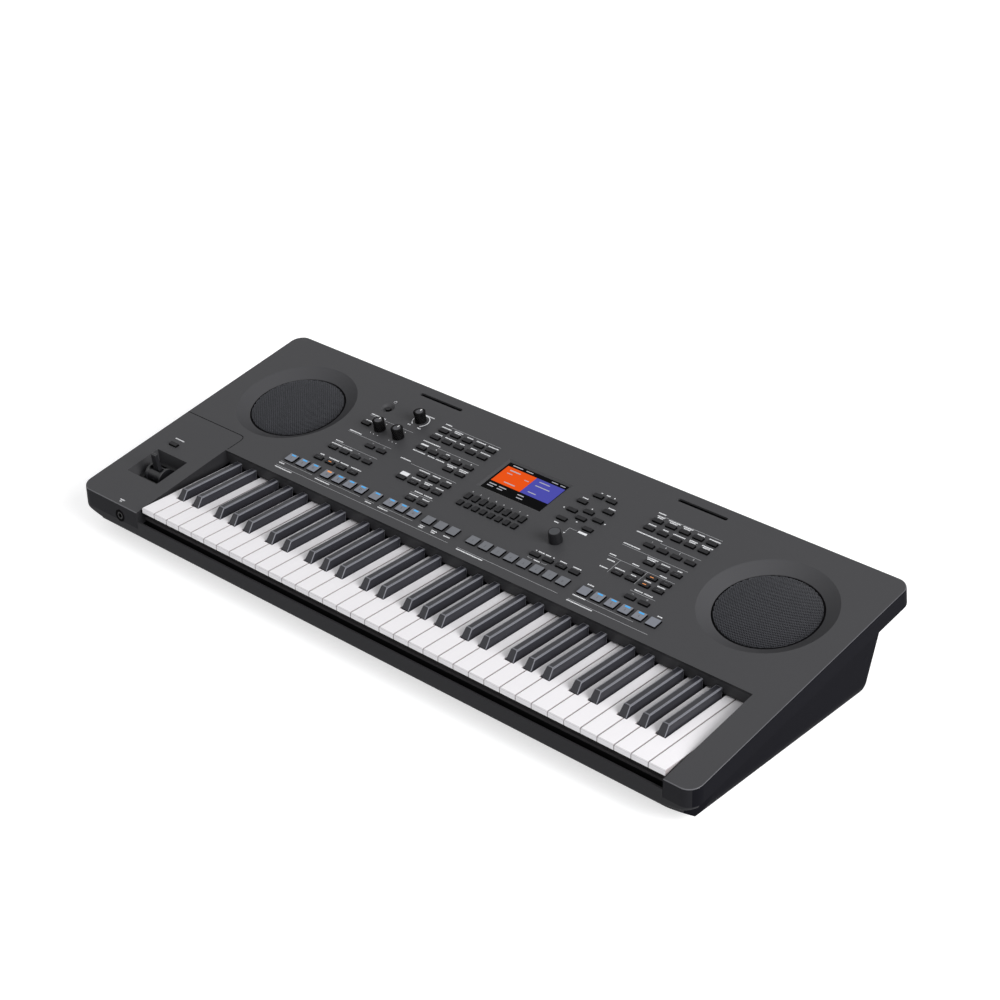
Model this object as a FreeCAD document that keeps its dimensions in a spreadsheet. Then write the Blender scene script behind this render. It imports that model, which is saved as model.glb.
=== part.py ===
import FreeCAD, Part
import os
import re
import Sketcher
from FreeCAD import Placement, Rotation, Vector

# Arranger keyboard with five octaves of keys, +Z up, +X to the player's right, +Y to the rear.
# The origin is on the floor under the middle of the case.
# The control panel slopes up to the rear. Pieces in it are drawn in the panel frame:
# X across, Y up the slope from the panel's front edge, Z out of the panel.

doc = FreeCAD.newDocument("arranger_keyboard")
sheet = doc.addObject("Spreadsheet::Sheet", "dims")

case_sizes = [
    ("case_width", 1004),
    ("case_depth", 404),
    ("front_height", 64.8),
    ("panel_slope", 9.82),
    ("skirt_height", 23.5),
    ("wall", 2.8),
    ("corner_radius", 18),
    ("edge_round", 1.5),
    ("lip_height", 51),
    ("tub_inset", 9),
    ("tub_side_round", 24),
    ("tub_corner_round", 45),
    ("tub_rear_setback", 326),
    ("tub_rear_lean", 30),
    ("hull_height", 29.6),
    ("hull_run", 38),
    ("hull_round", 8),
    ("apron_depth", 12),
    ("apron_sweep", 145),
    ("apron_round", 2.5),
    ("foot_height", 6),
    ("foot_radius", 11),
    ("foot_inset", 90),
    ("foot_front_setback", 62),
    ("foot_rear_setback", 300),
    ("fit", 0.3),
    ("post_radius", 4.5),
    ("screw_radius", 1.6),
    ("screw_head_radius", 3.4),
    ("screw_head_height", 2.2),
    ("side_post_inset", 32),
    ("side_post_depth", 38),
    ("side_post_front", 40),
    ("side_post_rear", 225),
    ("shelf_post_setback", 24),
    ("shelf_post_inner", 118),
    ("shelf_post_outer", 330),
    ("rest_slot_offset", 216),
    ("rest_slot_setback", 388),
    ("rest_slot_length", 75.5),
    ("rest_slot_width", 5.4),
]

key_sizes = [
    ("octaves", 5),
    ("key_pitch", 23.5),
    ("key_gap", 1),
    ("key_left", 115),
    ("key_setback", 7.6),
    ("key_top", 69.9),
    ("key_thick", 7.1),
    ("key_skin", 2.2),
    ("key_reach", 192),
    ("key_travel", 10),
    ("key_chamfer", 0.8),
    ("tail_length", 167),
    ("sharp_setback", 46.5),
    ("sharp_length", 100),
    ("sharp_slot", 13.2),
    ("sharp_width", 11.4),
    ("sharp_top_width", 9.2),
    ("sharp_height", 12),
    ("sharp_front_run", 5.5),
    ("sharp_chamfer", 0.9),
    ("stem_width", 9.2),
    ("stem_height", 10),
    ("stem_drop", 3.2),
    ("stem_overhang", 7),
    ("pivot_drop", 8.2),
    ("pivot_radius", 2.5),
    ("well_margin", 2.6),
    ("fascia_setback", 157.3),
    ("fascia_drop", 20),
    ("bed_height", 36),
    ("bed_thick", 2.5),
    ("ear_thick", 2.4),
    ("felt_thick", 3),
    ("felt_width", 9),
    ("contact_setback", 88),
    ("contact_width", 34),
    ("contact_height", 50),
    ("dome_height", 4.5),
]

panel_sizes = [
    ("speaker_inset", 115),
    ("speaker_setback", 286.5),
    ("dish_radius", 82.4),
    ("dish_depth", 9),
    ("grille_radius", 65),
    ("grille_thick", 1.6),
    ("speaker_opening", 58),
    ("driver_rim", 65),
    ("driver_depth", 44),
    ("magnet_radius", 30),
    ("magnet_height", 16),
    ("display_column", -1.1),
    ("display_setback", 309.4),
    ("display_width", 98),
    ("display_height", 57.6),
    ("display_bevel", 3.2),
    ("display_depth", 2),
    ("display_lap", 4),
    ("lens_thick", 1.5),
    ("module_thick", 8),
    ("button_width", 14.4),
    ("button_length", 6.3),
    ("button_rise", 2.3),
    ("pad_width", 14.8),
    ("pad_length", 13.8),
    ("pad_rise", 2.3),
    ("soft_width", 7.5),
    ("soft_length", 9),
    ("soft_upper_length", 11.2),
    ("soft_rise", 2.2),
    ("power_radius", 4),
    ("power_drop", 1),
    ("power_dish_radius", 9.6),
    ("power_dish_depth", 3.6),
    ("power_floor", 1.6),
    ("cap_gap", 0.4),
    ("cap_lip", 0.8),
    ("cap_taper", 0.15),
    ("flange_thick", 1.4),
    ("flange_gap", 0.2),
    ("button_travel", 1.2),
    ("board_depth", 9),
    ("board_thick", 1.6),
    ("rib_thick", 2),
    ("switch_size", 6),
    ("knob_radius", 8.7),
    ("knob_top_radius", 6.3),
    ("knob_height", 16.3),
    ("knob_lift", 0.8),
    ("knob_chamfer", 0.7),
    ("dial_radius", 8.8),
    ("dial_top_radius", 7.9),
    ("dial_height", 15.5),
    ("shaft_radius", 3),
    ("shaft_gap", 0.3),
    ("pot_size", 11),
]

place_sizes = [
    ("pad_row", 190.8),
    ("lower_row", 211.4),
    ("middle_row", 237.8),
    ("function_row", 254.9),
    ("transpose_row", 264.5),
    ("part_row", 252),
    ("effect_row", 271.9),
    ("song_row", 297.9),
    ("song_lower_row", 281.4),
    ("select_row", 323.9),
    ("select_upper_row", 340.4),
    ("soft_row", 239.3),
    ("soft_upper_row", 254.6),
    ("cursor_row", 302.1),
    ("knob_row", 299.6),
    ("volume_row", 342),
    ("dial_row", 245.4),
    ("power_row", 341.4),
    ("hold_row", 128),
    ("button_pitch", 20.43),
    ("pad_pitch", 20.37),
    ("soft_pitch", 12.77),
    ("cursor_pitch", 20.45),
    ("cursor_step", 19.6),
    ("intro_column", -298.2),
    ("main_column", -232.6),
    ("break_column", -146),
    ("ending_column", -120.5),
    ("start_column", -54.2),
    ("registration_column", 19.6),
    ("multi_column", 195.3),
    ("tempo_column", -268.8),
    ("style_column", -166.9),
    ("soft_column", -46.05),
    ("cursor_column", 103.3),
    ("bank_column", 100.9),
    ("voice_column", 185.4),
    ("volume_column", -209.4),
    ("knob_column", -243.5),
    ("knob_pitch", 33.5),
    ("dial_column", 104.7),
    ("power_column", -268.6),
    ("hold_inset", 42.6),
]

joystick_sizes = [
    ("stick_inset", 59.5),
    ("stick_row", 83),
    ("stick_well_width", 58),
    ("stick_well_length", 54),
    ("stick_well_bevel", 6),
    ("stick_well_depth", 13),
    ("drum_radius", 13.5),
    ("drum_length", 29),
    ("drum_flange", 3.6),
    ("drum_waist", 2.2),
    ("drum_depth", 15),
    ("drum_pin_radius", 3),
    ("lever_width", 12),
    ("lever_tip_width", 9),
    ("lever_thick", 6.4),
    ("lever_length", 35),
    ("lever_swing", 15),
    ("lever_pin_radius", 2),
    ("housing_depth", 34),
]

socket_sizes = [
    ("phones_inset", 78),
    ("phones_height", 48),
    ("jack_bore", 3.2),
    ("mini_jack_bore", 1.9),
    ("jack_bush", 5.2),
    ("jack_body", 13),
    ("jack_length", 26),
    ("jack_bore_length", 22),
    ("socket_rise", 42),
    ("socket_pitch", 34),
    ("socket_column", -85),
    ("usb_width", 8.6),
    ("usb_height", 7.8),
    ("usb_shell", 1),
    ("main_board_width", 230),
    ("main_board_length", 80),
    ("main_board_height", 16),
    ("main_board_gap", 36),
]

all_sizes = case_sizes + key_sizes + panel_sizes + place_sizes + joystick_sizes + socket_sizes
for line, (alias, number) in enumerate(all_sizes, 1):
    sheet.set(f"A{line}", alias.replace("_", " "))
    sheet.set(f"B{line}", str(number))
    sheet.setAlias(f"B{line}", alias)
doc.recompute()

alias_words = re.compile(r"\b(" + "|".join(alias for alias, number in all_sizes) + r")\b")


def bound(text):
    """An expression over the sheet's aliases, written for the expression engine."""
    return alias_words.sub(r"dims.\1", str(text))


def value(text):
    """The number that an expression has now."""
    result = sheet.evalExpression(bound(text))
    return float(getattr(result, "Value", result))


def turned(base, angle):
    """A frame at base, turned about X by angle."""
    x, y, z = base
    return (f"create(<<placement>>; create(<<vector>>; {x}; {y}; {z}); "
            f"create(<<rotation>>; create(<<vector>>; 1; 0; 0); {angle}))")


def frame_value(base, angle):
    """The same frame as a Placement."""
    return Placement(Vector(*[value(text) for text in base]), Rotation(Vector(1, 0, 0), value(angle)))


# Places that several pieces share
front = "(-case_depth / 2)"
slope_tan = "tan(panel_slope)"
panel_length = "((case_depth - skirt_height * sin(panel_slope)) / cos(panel_slope))"
rim_front = "(front_height - skirt_height / cos(panel_slope))"
half_width = "(case_width / 2)"
key_x = "(key_left - case_width / 2)"
key_y = f"({front} + key_setback)"
key_span = "(key_pitch * (7 * octaves + 1))"
well_left = f"({key_x} - well_margin)"
well_width = f"({key_span} + 2 * well_margin)"
pivot_y = f"({key_y} + key_reach)"
pivot_z = "(key_top - pivot_drop)"
tub_half = f"({half_width} - tub_inset)"
tub_rear = f"({front} + tub_rear_setback)"
rim_rear = f"({rim_front} + (tub_rear_setback + tub_rear_lean) * {slope_tan})"
rear_lean = f"(tub_rear_lean / ({rim_rear} - foot_height))"
wall_lean = f"atan({rear_lean})"
ledge_depth = "(dish_depth + grille_thick)"
stick_x = f"(stick_inset - {half_width})"
hold_x = f"(hold_inset - {half_width})"
phones_x = f"(phones_inset - {half_width})"

panel_base = ("0", front, "front_height")
panel_frame = turned(panel_base, "panel_slope")
rear_base = ("0", tub_rear, "foot_height")
rear_angle = f"-(90 deg + {wall_lean})"
rear_frame = turned(rear_base, rear_angle)

nodes = {}


def bind(part, **texts):
    for name, text in texts.items():
        part.setExpression(name.replace("__", "."), bound(text))
    return part


def seat(part, base):
    return bind(part, Placement__Base__x=base[0], Placement__Base__y=base[1], Placement__Base__z=base[2])


def box(name, corner, lengths):
    part = doc.addObject("Part::Box", name)
    bind(part, Length=lengths[0], Width=lengths[1], Height=lengths[2])
    return seat(part, corner)


def cylinder(name, base, radius, height, axis=Vector(0, 0, 1)):
    part = doc.addObject("Part::Cylinder", name)
    part.Placement = Placement(Vector(), Rotation(Vector(0, 0, 1), axis))
    bind(part, Radius=radius, Height=height)
    return seat(part, base)


def cone(name, base, low_radius, high_radius, height):
    part = doc.addObject("Part::Cone", name)
    bind(part, Radius1=low_radius, Radius2=high_radius, Height=height)
    return seat(part, base)


def frustum(name, base, low, high, height):
    """A block whose low and high faces, given as widths along X and Y, are centred over base."""
    part = doc.addObject("Part::Wedge", name)
    part.Placement = Placement(Vector(), Rotation(Vector(1, 0, 0), 90))
    bind(part, Ymin="0", Ymax=height)
    bind(part, Xmin=f"-({low[0]}) / 2", Xmax=f"({low[0]}) / 2", Zmin=f"-({low[1]}) / 2",
         Zmax=f"({low[1]}) / 2")
    bind(part, X2min=f"-({high[0]}) / 2", X2max=f"({high[0]}) / 2")
    bind(part, Z2min=f"-({high[1]}) / 2", Z2max=f"({high[1]}) / 2")
    return seat(part, base)


def profile(name, points):
    """A closed sketch in the YZ plane whose corners are tied to the sheet."""
    sketch = doc.addObject("Sketcher::SketchObject", name)
    sketch.Placement = Placement(Vector(), Rotation(Vector(1, 1, 1), 120))
    corners = [Vector(value(y), value(z), 0) for y, z in points]
    count = len(corners)
    for index in range(count):
        sketch.addGeometry(Part.LineSegment(corners[index], corners[(index + 1) % count]))
    for index in range(count):
        sketch.addConstraint(Sketcher.Constraint("Coincident", index, 2, (index + 1) % count, 1))
    for index, texts in enumerate(points):
        for kind, text, number in zip(("DistanceX", "DistanceY"), texts, corners[index]):
            mark = sketch.addConstraint(Sketcher.Constraint(kind, -1, 1, index, 1, number))
            sketch.setExpression(f"Constraints[{mark}]", bound(text))
    return sketch


def prism(name, points, width):
    """A profile in the YZ plane drawn out evenly to both sides along X."""
    part = doc.addObject("Part::Extrusion", name)
    part.Base = profile(name + "_profile", points)
    part.DirMode = "Normal"
    part.Solid = True
    part.Symmetric = True
    return bind(part, LengthFwd=width)


def rounded(name, base, radius, chosen, kind="Part::Fillet"):
    """A copy of base with the chosen edges rounded or chamfered."""
    doc.recompute()
    part = doc.addObject(kind, name)
    part.Base = base
    size = value(radius)
    edges = base.Shape.Edges
    part.Edges = [(index, size, size) for index, edge in enumerate(edges, 1) if chosen(edge)]
    return part


def fuse(name, parts):
    part = doc.addObject("Part::MultiFuse", name)
    part.Shapes = parts
    part.Refine = True
    return part


def cut(name, base, tool):
    part = doc.addObject("Part::Cut", name)
    part.Base = base
    part.Tool = tool
    part.Refine = True
    return part


def common(name, parts):
    part = doc.addObject("Part::MultiCommon", name)
    part.Shapes = parts
    part.Refine = True
    return part


def group(name, parts):
    part = doc.addObject("Part::Compound", name)
    part.Links = parts
    return part


def copies(name, sets):
    """A set of solids: each pair in sets is a shape and the places that it stands at."""
    part = doc.addObject("Part::Feature", name)
    part.Shape = Part.makeCompound([shape.translated(Vector(*place))
                                    for shape, places in sets for place in places])
    return part


def node(label, part):
    part.Label = label
    nodes[label] = part
    return part


def runs_along(edge, axis):
    ends = [vertex.Point for vertex in edge.Vertexes]
    return len(ends) == 2 and abs((ends[1] - ends[0]).normalize().dot(axis)) > 0.9


def lies_at(edge, axis, level):
    return all(abs(vertex.Point.dot(axis) - level) < 0.01 for vertex in edge.Vertexes)


# Buttons: every group is a size of cap and the columns and rows that it stands in
caps = {
    "button": ("button_width", "button_length", "button_rise"),
    "pad": ("pad_width", "pad_length", "pad_rise"),
    "soft": ("soft_width", "soft_length", "soft_rise"),
    "soft_upper": ("soft_width", "soft_upper_length", "soft_rise"),
}


def row(column, pitch, count, level, first=0):
    return [(f"({column} + {index} * {pitch})", level) for index in range(first, first + count)]


def pad_places(column, count):
    return row(column, "pad_pitch", count, "pad_row")


def button_places(column, level, count, first=0):
    return row(column, "button_pitch", count, level, first)


cursor_places = [
    ("cursor_column - cursor_pitch / 2", "select_upper_row"),
    ("cursor_column + cursor_pitch / 2", "select_upper_row"),
    ("cursor_column - cursor_pitch", "cursor_row + cursor_step"),
    ("cursor_column + cursor_pitch", "cursor_row + cursor_step"),
    ("cursor_column", "cursor_row + 0.37 * cursor_step"),
    ("cursor_column - cursor_pitch", "cursor_row"),
    ("cursor_column + cursor_pitch", "cursor_row"),
    ("cursor_column", "cursor_row - 0.38 * cursor_step"),
    ("cursor_column - cursor_pitch", "cursor_row - cursor_step"),
    ("cursor_column + cursor_pitch", "cursor_row - cursor_step"),
]

button_groups = {
    "intro_pads": ("pad", pad_places("intro_column", 3)),
    "main_pads": ("pad", pad_places("main_column", 4)),
    "ending_pads": ("pad", pad_places("break_column", 1) + pad_places("ending_column", 3)),
    "start_pads": ("pad", pad_places("start_column", 3)),
    "registration_pads": ("pad", pad_places("registration_column", 8)),
    "multi_pads": ("pad", pad_places("multi_column", 6)),
    "assign_button": ("button", button_places("tempo_column", "knob_row", 1)),
    "tempo_buttons": ("button", button_places("tempo_column", "transpose_row", 2, 2)
                      + button_places("tempo_column", "middle_row", 4)),
    "style_option_buttons": ("button", button_places("tempo_column", "lower_row", 4)),
    "style_buttons": ("button", button_places("style_column", "select_row", 5)
                      + button_places("style_column", "select_upper_row", 5)),
    "song_buttons": ("button", button_places("style_column", "song_row", 5)
                     + button_places("style_column", "song_lower_row", 2, 3)),
    "function_buttons": ("button", button_places("style_column", "function_row", 3, 2)
                         + button_places("style_column", "middle_row", 4, 1)
                         + button_places("style_column", "lower_row", 2, 3)),
    "display_buttons": ("soft", row("soft_column", "soft_pitch", 8, "soft_row")),
    "cursor_buttons": ("button", cursor_places),
    "bank_buttons": ("button", button_places("bank_column", "lower_row", 4)),
    "voice_buttons": ("button", button_places("voice_column", "select_row", 5)
                      + button_places("voice_column", "select_upper_row", 5)),
    "one_touch_buttons": ("button", button_places("voice_column", "song_row", 4, 1)),
    "effect_buttons": ("button", button_places("voice_column", "effect_row", 3, 2)),
    "part_buttons": ("button", button_places("voice_column", "part_row", 3, 2)
                     + button_places("voice_column", "middle_row", 4, 1)
                     + button_places("voice_column", "lower_row", 2, 3)),
    "hold_button": ("button", [(hold_x, "hold_row")]),
}

# The display's rear row has longer caps than its front row
rear_rows = {"display_buttons": ("soft_upper", row("soft_column", "soft_pitch", 8, "soft_upper_row"))}


def cap_sets(label):
    """The sizes of cap in a group, each with its places."""
    return [button_groups[label]] + [rear_rows[name] for name in rear_rows if name == label]


power_place = ("power_column", "power_row")
knob_places = {
    "volume_knob": ("volume_column", "volume_row"),
    "left_live_knob": ("knob_column", "knob_row"),
    "right_live_knob": ("(knob_column + knob_pitch)", "knob_row"),
    "data_dial": ("dial_column", "dial_row"),
}
speaker_places = [(f"-({half_width} - speaker_inset)", "speaker_setback"),
                  (f"({half_width} - speaker_inset)", "speaker_setback")]


def spot(place):
    """A panel place as numbers, on the panel's face."""
    return (value(place[0]), value(place[1]), 0)


def flange_low():
    return "(-(wall + flange_gap + flange_thick))"


power_low = "(-(power_dish_depth + power_floor + flange_gap + flange_thick))"


def button_cap(name, width, length, rise):
    """A tapered cap on a flange that stays under the panel."""
    flange = frustum(name + "_flange", ("0", "0", flange_low()),
                     (f"{width} + 2 * cap_lip", f"{length} + 2 * cap_lip"),
                     (f"{width} + 2 * cap_lip", f"{length} + 2 * cap_lip"), "flange_thick")
    stalk = frustum(name + "_stalk", ("0", "0", f"{flange_low()} + flange_thick / 2"),
                    (width, length), (f"{width} - 2 * cap_taper", f"{length} - 2 * cap_taper"),
                    f"{rise} - {flange_low()} - flange_thick / 2")
    return fuse(name + "_cap", [flange, stalk])


def build_buttons():
    shapes = {kind: button_cap(kind, *sizes) for kind, sizes in caps.items()}
    doc.recompute()
    for label in button_groups:
        part = copies(label, [(shapes[kind].Shape, [spot(place) for place in places])
                              for kind, places in cap_sets(label)])
        part.Placement = frame_value(panel_base, "panel_slope")
        node(label, part)
    x, y = power_place
    flange = cylinder("power_flange", (x, y, power_low), "power_radius + cap_lip", "flange_thick")
    stalk = cylinder("power_stalk", (x, y, power_low), "power_radius", f"-power_drop - {power_low}")
    button = fuse("power_button", [flange, stalk])
    node("power_button", bind(button, Placement=panel_frame))


def build_knobs():
    for label, (x, y) in knob_places.items():
        radius, tip, height = ("knob_radius", "knob_top_radius", "knob_height")
        if label == "data_dial":
            radius, tip, height = ("dial_radius", "dial_top_radius", "dial_height")
        body = cone(label + "_body", (x, y, "knob_lift"), radius, tip, f"{height} - knob_lift")
        top = value(height)
        crown = rounded(label + "_crown", body, "knob_chamfer",
                        lambda edge: lies_at(edge, Vector(0, 0, 1), top), "Part::Chamfer")
        bore = cylinder(label + "_bore", (x, y, "0"), "shaft_radius + shaft_gap", f"{height} - 3")
        node(label, bind(cut(label, crown, bore), Placement=panel_frame))


def control_holes():
    """Openings in the panel for every button and knob."""
    holes = []
    for kind, (x, y) in [(kind, place) for label in button_groups for kind, places in cap_sets(label)
                         for place in places]:
        width, length, rise = caps[kind]
        hole = (f"{width} + 2 * cap_gap", f"{length} + 2 * cap_gap")
        holes.append(frustum(f"{kind}_hole", (x, y, "-2 * wall"), hole, hole, "3 * wall"))
    x, y = power_place
    holes.append(cylinder("power_hole", (x, y, power_low), "power_radius + cap_gap", f"-{power_low}"))
    holes.append(cone("power_dish", (x, y, "-power_dish_depth"), "power_radius + 3 * cap_lip",
                      "power_dish_radius", "power_dish_depth"))
    for label, (x, y) in knob_places.items():
        holes.append(cylinder(label + "_hole", (x, y, "-2 * wall"), "shaft_radius + 2 * shaft_gap",
                              "3 * wall"))
    return holes


def rest_slots():
    """Two round-ended slots that take a music rest's feet."""
    parts = []
    for side, sign in (("left", "-"), ("right", "")):
        middle = f"({sign}rest_slot_offset)"
        straight = "(rest_slot_length - rest_slot_width)"
        parts.append(box(f"{side}_slot", (f"{middle} - {straight} / 2",
                                          "rest_slot_setback - rest_slot_width / 2",
                                          "-2 * wall"), (straight, "rest_slot_width", "3 * wall")))
        for end in ("-", "+"):
            parts.append(cylinder(f"{side}_slot_end", (f"{middle} {end} {straight} / 2", "rest_slot_setback",
                                                       "-2 * wall"), "rest_slot_width / 2", "3 * wall"))
    return parts


side_posts = [(f"{sign}({half_width} - side_post_inset)", level)
              for sign in ("-", "") for level in ("side_post_front", "side_post_rear")]
shelf_posts = [(f"{sign}{place}", f"({panel_length} - shelf_post_setback)")
               for sign in ("-", "") for place in ("shelf_post_inner", "shelf_post_outer")]

# Circuit boards under the panel: left edge, right edge, front edge, rear edge
board_edges = {
    "pad_board": ("(intro_column - pad_width / 2 - 4)", "(multi_column + 5 * pad_pitch + pad_width / 2 + 4)",
                  "(pad_row - pad_length / 2 - 3)", "(pad_row + pad_length / 2 + 3)"),
    "left_board": ("(tempo_column - button_width / 2 - 8)",
                   "(style_column + 4 * button_pitch + button_width / 2 + 4)",
                   "(lower_row - button_length / 2 - 3)", "(select_upper_row + button_length / 2 + 8)"),
    "soft_board": ("(soft_column - soft_width / 2 - 4)",
                   "(soft_column + 7 * soft_pitch + soft_width / 2 + 4)",
                   "(soft_row - soft_length / 2 - 6)", "(soft_upper_row + soft_upper_length / 2 + 3)"),
    "right_board": ("(cursor_column - cursor_pitch - button_width / 2 - 5)",
                    "(voice_column + 4 * button_pitch + button_width / 2 + 6)",
                    "(lower_row - button_length / 2 - 3)", "(select_upper_row + button_length / 2 + 8)"),
    "hold_board": (f"({hold_x} - button_width / 2 - 4)", f"({hold_x} + button_width / 2 + 4)",
                   "(hold_row - button_length / 2 - 3)", "(hold_row + button_length / 2 + 3)"),
}


def build_upper_case():
    """The moulded top: panel, skirt, cheeks, key-well walls, speaker dishes and joystick well.
    It is parted at the key well's rear wall into the panel and the two end blocks beside the keys."""
    over = "1"
    tail = "(skirt_height + 1)"
    slab = prism("slab", [("0", "0"), (panel_length, "0"), (panel_length, "-skirt_height"),
                          (f"-skirt_height * {slope_tan}", "-skirt_height")], "case_width")
    corners = rounded("slab_corners", slab, "corner_radius", lambda edge: runs_along(edge, Vector(0, 0, 1)))
    outside = rounded("slab_rim", corners, "edge_round", lambda edge: lies_at(edge, Vector(0, 0, 1), 0))
    step = "wall / cos(panel_slope)"
    hollow = prism("hollow", [(f"{step} - wall * {slope_tan}", "-wall"), (f"{panel_length} - wall", "-wall"),
                              (f"{panel_length} - wall", f"-{tail}"),
                              (f"{step} - {tail} * {slope_tan}", f"-{tail}")],
                   "case_width - 2 * wall")
    inside = rounded("hollow_corners", hollow, "corner_radius - wall",
                     lambda edge: runs_along(edge, Vector(0, 0, 1)))
    shell = cut("case_shell", outside, inside)

    root = "-wall / 2"
    walls = [box("fascia", (f"{well_left} - wall", "fascia_setback", "-fascia_drop"),
                 (f"{well_width} + 2 * wall", "wall", f"fascia_drop + {root}"))]
    for side, edge in (("left", f"{well_left} - wall"), ("right", f"{well_left} + {well_width}")):
        walls.append(box(side + "_cheek", (edge, "-skirt_height", "wall + fit - skirt_height"),
                         ("wall", "fascia_setback + wall + skirt_height",
                          f"skirt_height - wall - fit + {root}")))
    for index, (x, y) in enumerate(speaker_places):
        walls.append(cone(f"dish_{index}", (x, y, f"-({ledge_depth} + wall)"), "grille_radius + fit + wall",
                          "dish_radius + wall", f"{ledge_depth} + wall"))
    mouth = ("stick_well_width", "stick_well_length")
    throat = ("(stick_well_width - 2 * stick_well_bevel)", "(stick_well_length - 2 * stick_well_bevel)")
    walls.append(frustum("stick_walls", (stick_x, "stick_row", "-stick_well_depth"),
                         tuple(f"{text} + 2 * wall" for text in throat),
                         tuple(f"{text} + 2 * wall" for text in mouth), "stick_well_depth"))
    x, y = power_place
    walls.append(cylinder("power_boss", (x, y, "-(power_dish_depth + power_floor)"),
                          "power_dish_radius + wall / 2",
                          f"power_dish_depth + power_floor + {root}"))
    for label, (left, right, near, far) in board_edges.items():
        for end, edge in (("left", left), ("right", f"({right} - rib_thick)")):
            walls.append(box(f"{label}_{end}_rib", (edge, near, "-board_depth"),
                             ("rib_thick", f"{far} - {near}", f"board_depth + {root}")))
    for index, (x, y) in enumerate(shelf_posts):
        walls.append(cylinder(f"shelf_post_{index}", (x, y, "wall - skirt_height"), "post_radius",
                              f"skirt_height - wall + {root}"))
    inner = common("case_walls", [fuse("case_wall_set", walls), outside])
    posts = [cylinder(f"side_post_{index}", (x, y, "-side_post_depth"), "post_radius",
                      f"side_post_depth + {root}")
             for index, (x, y) in enumerate(side_posts)]
    full = fuse("case_full", [shell, inner] + posts)

    tools = [box("key_well", (well_left, "-skirt_height", f"-skirt_height - {over}"),
                 (well_width, "fascia_setback + skirt_height", f"skirt_height + 2 * {over}"))]
    for index, (x, y) in enumerate(speaker_places):
        tools.append(cone(f"dish_bowl_{index}", (x, y, "-dish_depth"), "grille_radius + fit", "dish_radius",
                          "dish_depth"))
        tools.append(cylinder(f"grille_seat_{index}", (x, y, f"-{ledge_depth}"), "grille_radius + fit",
                              f"{ledge_depth} - dish_depth / 2"))
        tools.append(cylinder(f"speaker_hole_{index}", (x, y, f"-{ledge_depth} - 2 * wall"),
                              "speaker_opening",
                              f"{ledge_depth} + wall"))
    tools.append(frustum("display_hole", ("display_column", "display_setback", "-display_depth"),
                         ("display_width", "display_height"),
                         ("display_width + 2 * display_bevel", "display_height + 2 * display_bevel"),
                         "display_depth"))
    pocket = tuple(f"({text} + 2 * display_lap + 2 * fit)" for text in ("display_width", "display_height"))
    tools.append(frustum("display_pocket", ("display_column", "display_setback", "-2 * wall"), pocket, pocket,
                         "2 * wall - display_depth"))
    tools.append(frustum("stick_hole", (stick_x, "stick_row", "-stick_well_depth"), throat, mouth,
                         "stick_well_depth"))
    for index, (x, y) in enumerate(side_posts):
        tools.append(cylinder(f"side_pilot_{index}", (x, y, "-side_post_depth"), "screw_radius + 0.15",
                              "side_post_depth / 2"))
    for index, (x, y) in enumerate(shelf_posts):
        tools.append(cylinder(f"shelf_pilot_{index}", (x, y, "-skirt_height"), "screw_radius + 0.15",
                              "skirt_height / 2"))
    drop = "(front_height - phones_height)"
    phones = cylinder("phones_hole", ("0", "0", "0"), "jack_bush + fit", "6 * wall")
    bind(phones, Placement=turned((phones_x, f"-{drop} * sin(panel_slope) - 2 * wall * cos(panel_slope)",
                                   f"2 * wall * sin(panel_slope) - {drop} * cos(panel_slope)"),
                                  "-(90 + panel_slope)"))
    tools.append(phones)
    openings = group("case_openings", tools + control_holes() + rest_slots())
    whole = cut("case_top", full, openings)
    reach = "(case_width + case_depth)"
    sides = {"left_end_block": f"-{reach}", "right_end_block": "0"}
    for label, edge in sides.items():
        room = box(label + "_room", (edge, f"fascia_setback - {reach}", f"-{reach} / 2"),
                   (reach, reach, reach))
        node(label, bind(common(label, [whole, room]), Placement=panel_frame))
    room = box("panel_room", (f"-{reach}", "fascia_setback", f"-{reach} / 2"), (f"2 * {reach}", reach, reach))
    node("upper_case", bind(common("upper_case", [whole, room]), Placement=panel_frame))


def rim_height(y, lift="0"):
    """Height of the parting line, lifted square to the panel, at a distance behind the case front."""
    return f"({rim_front} + ({y}) * {slope_tan} + ({lift}) / cos(panel_slope))"


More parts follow.
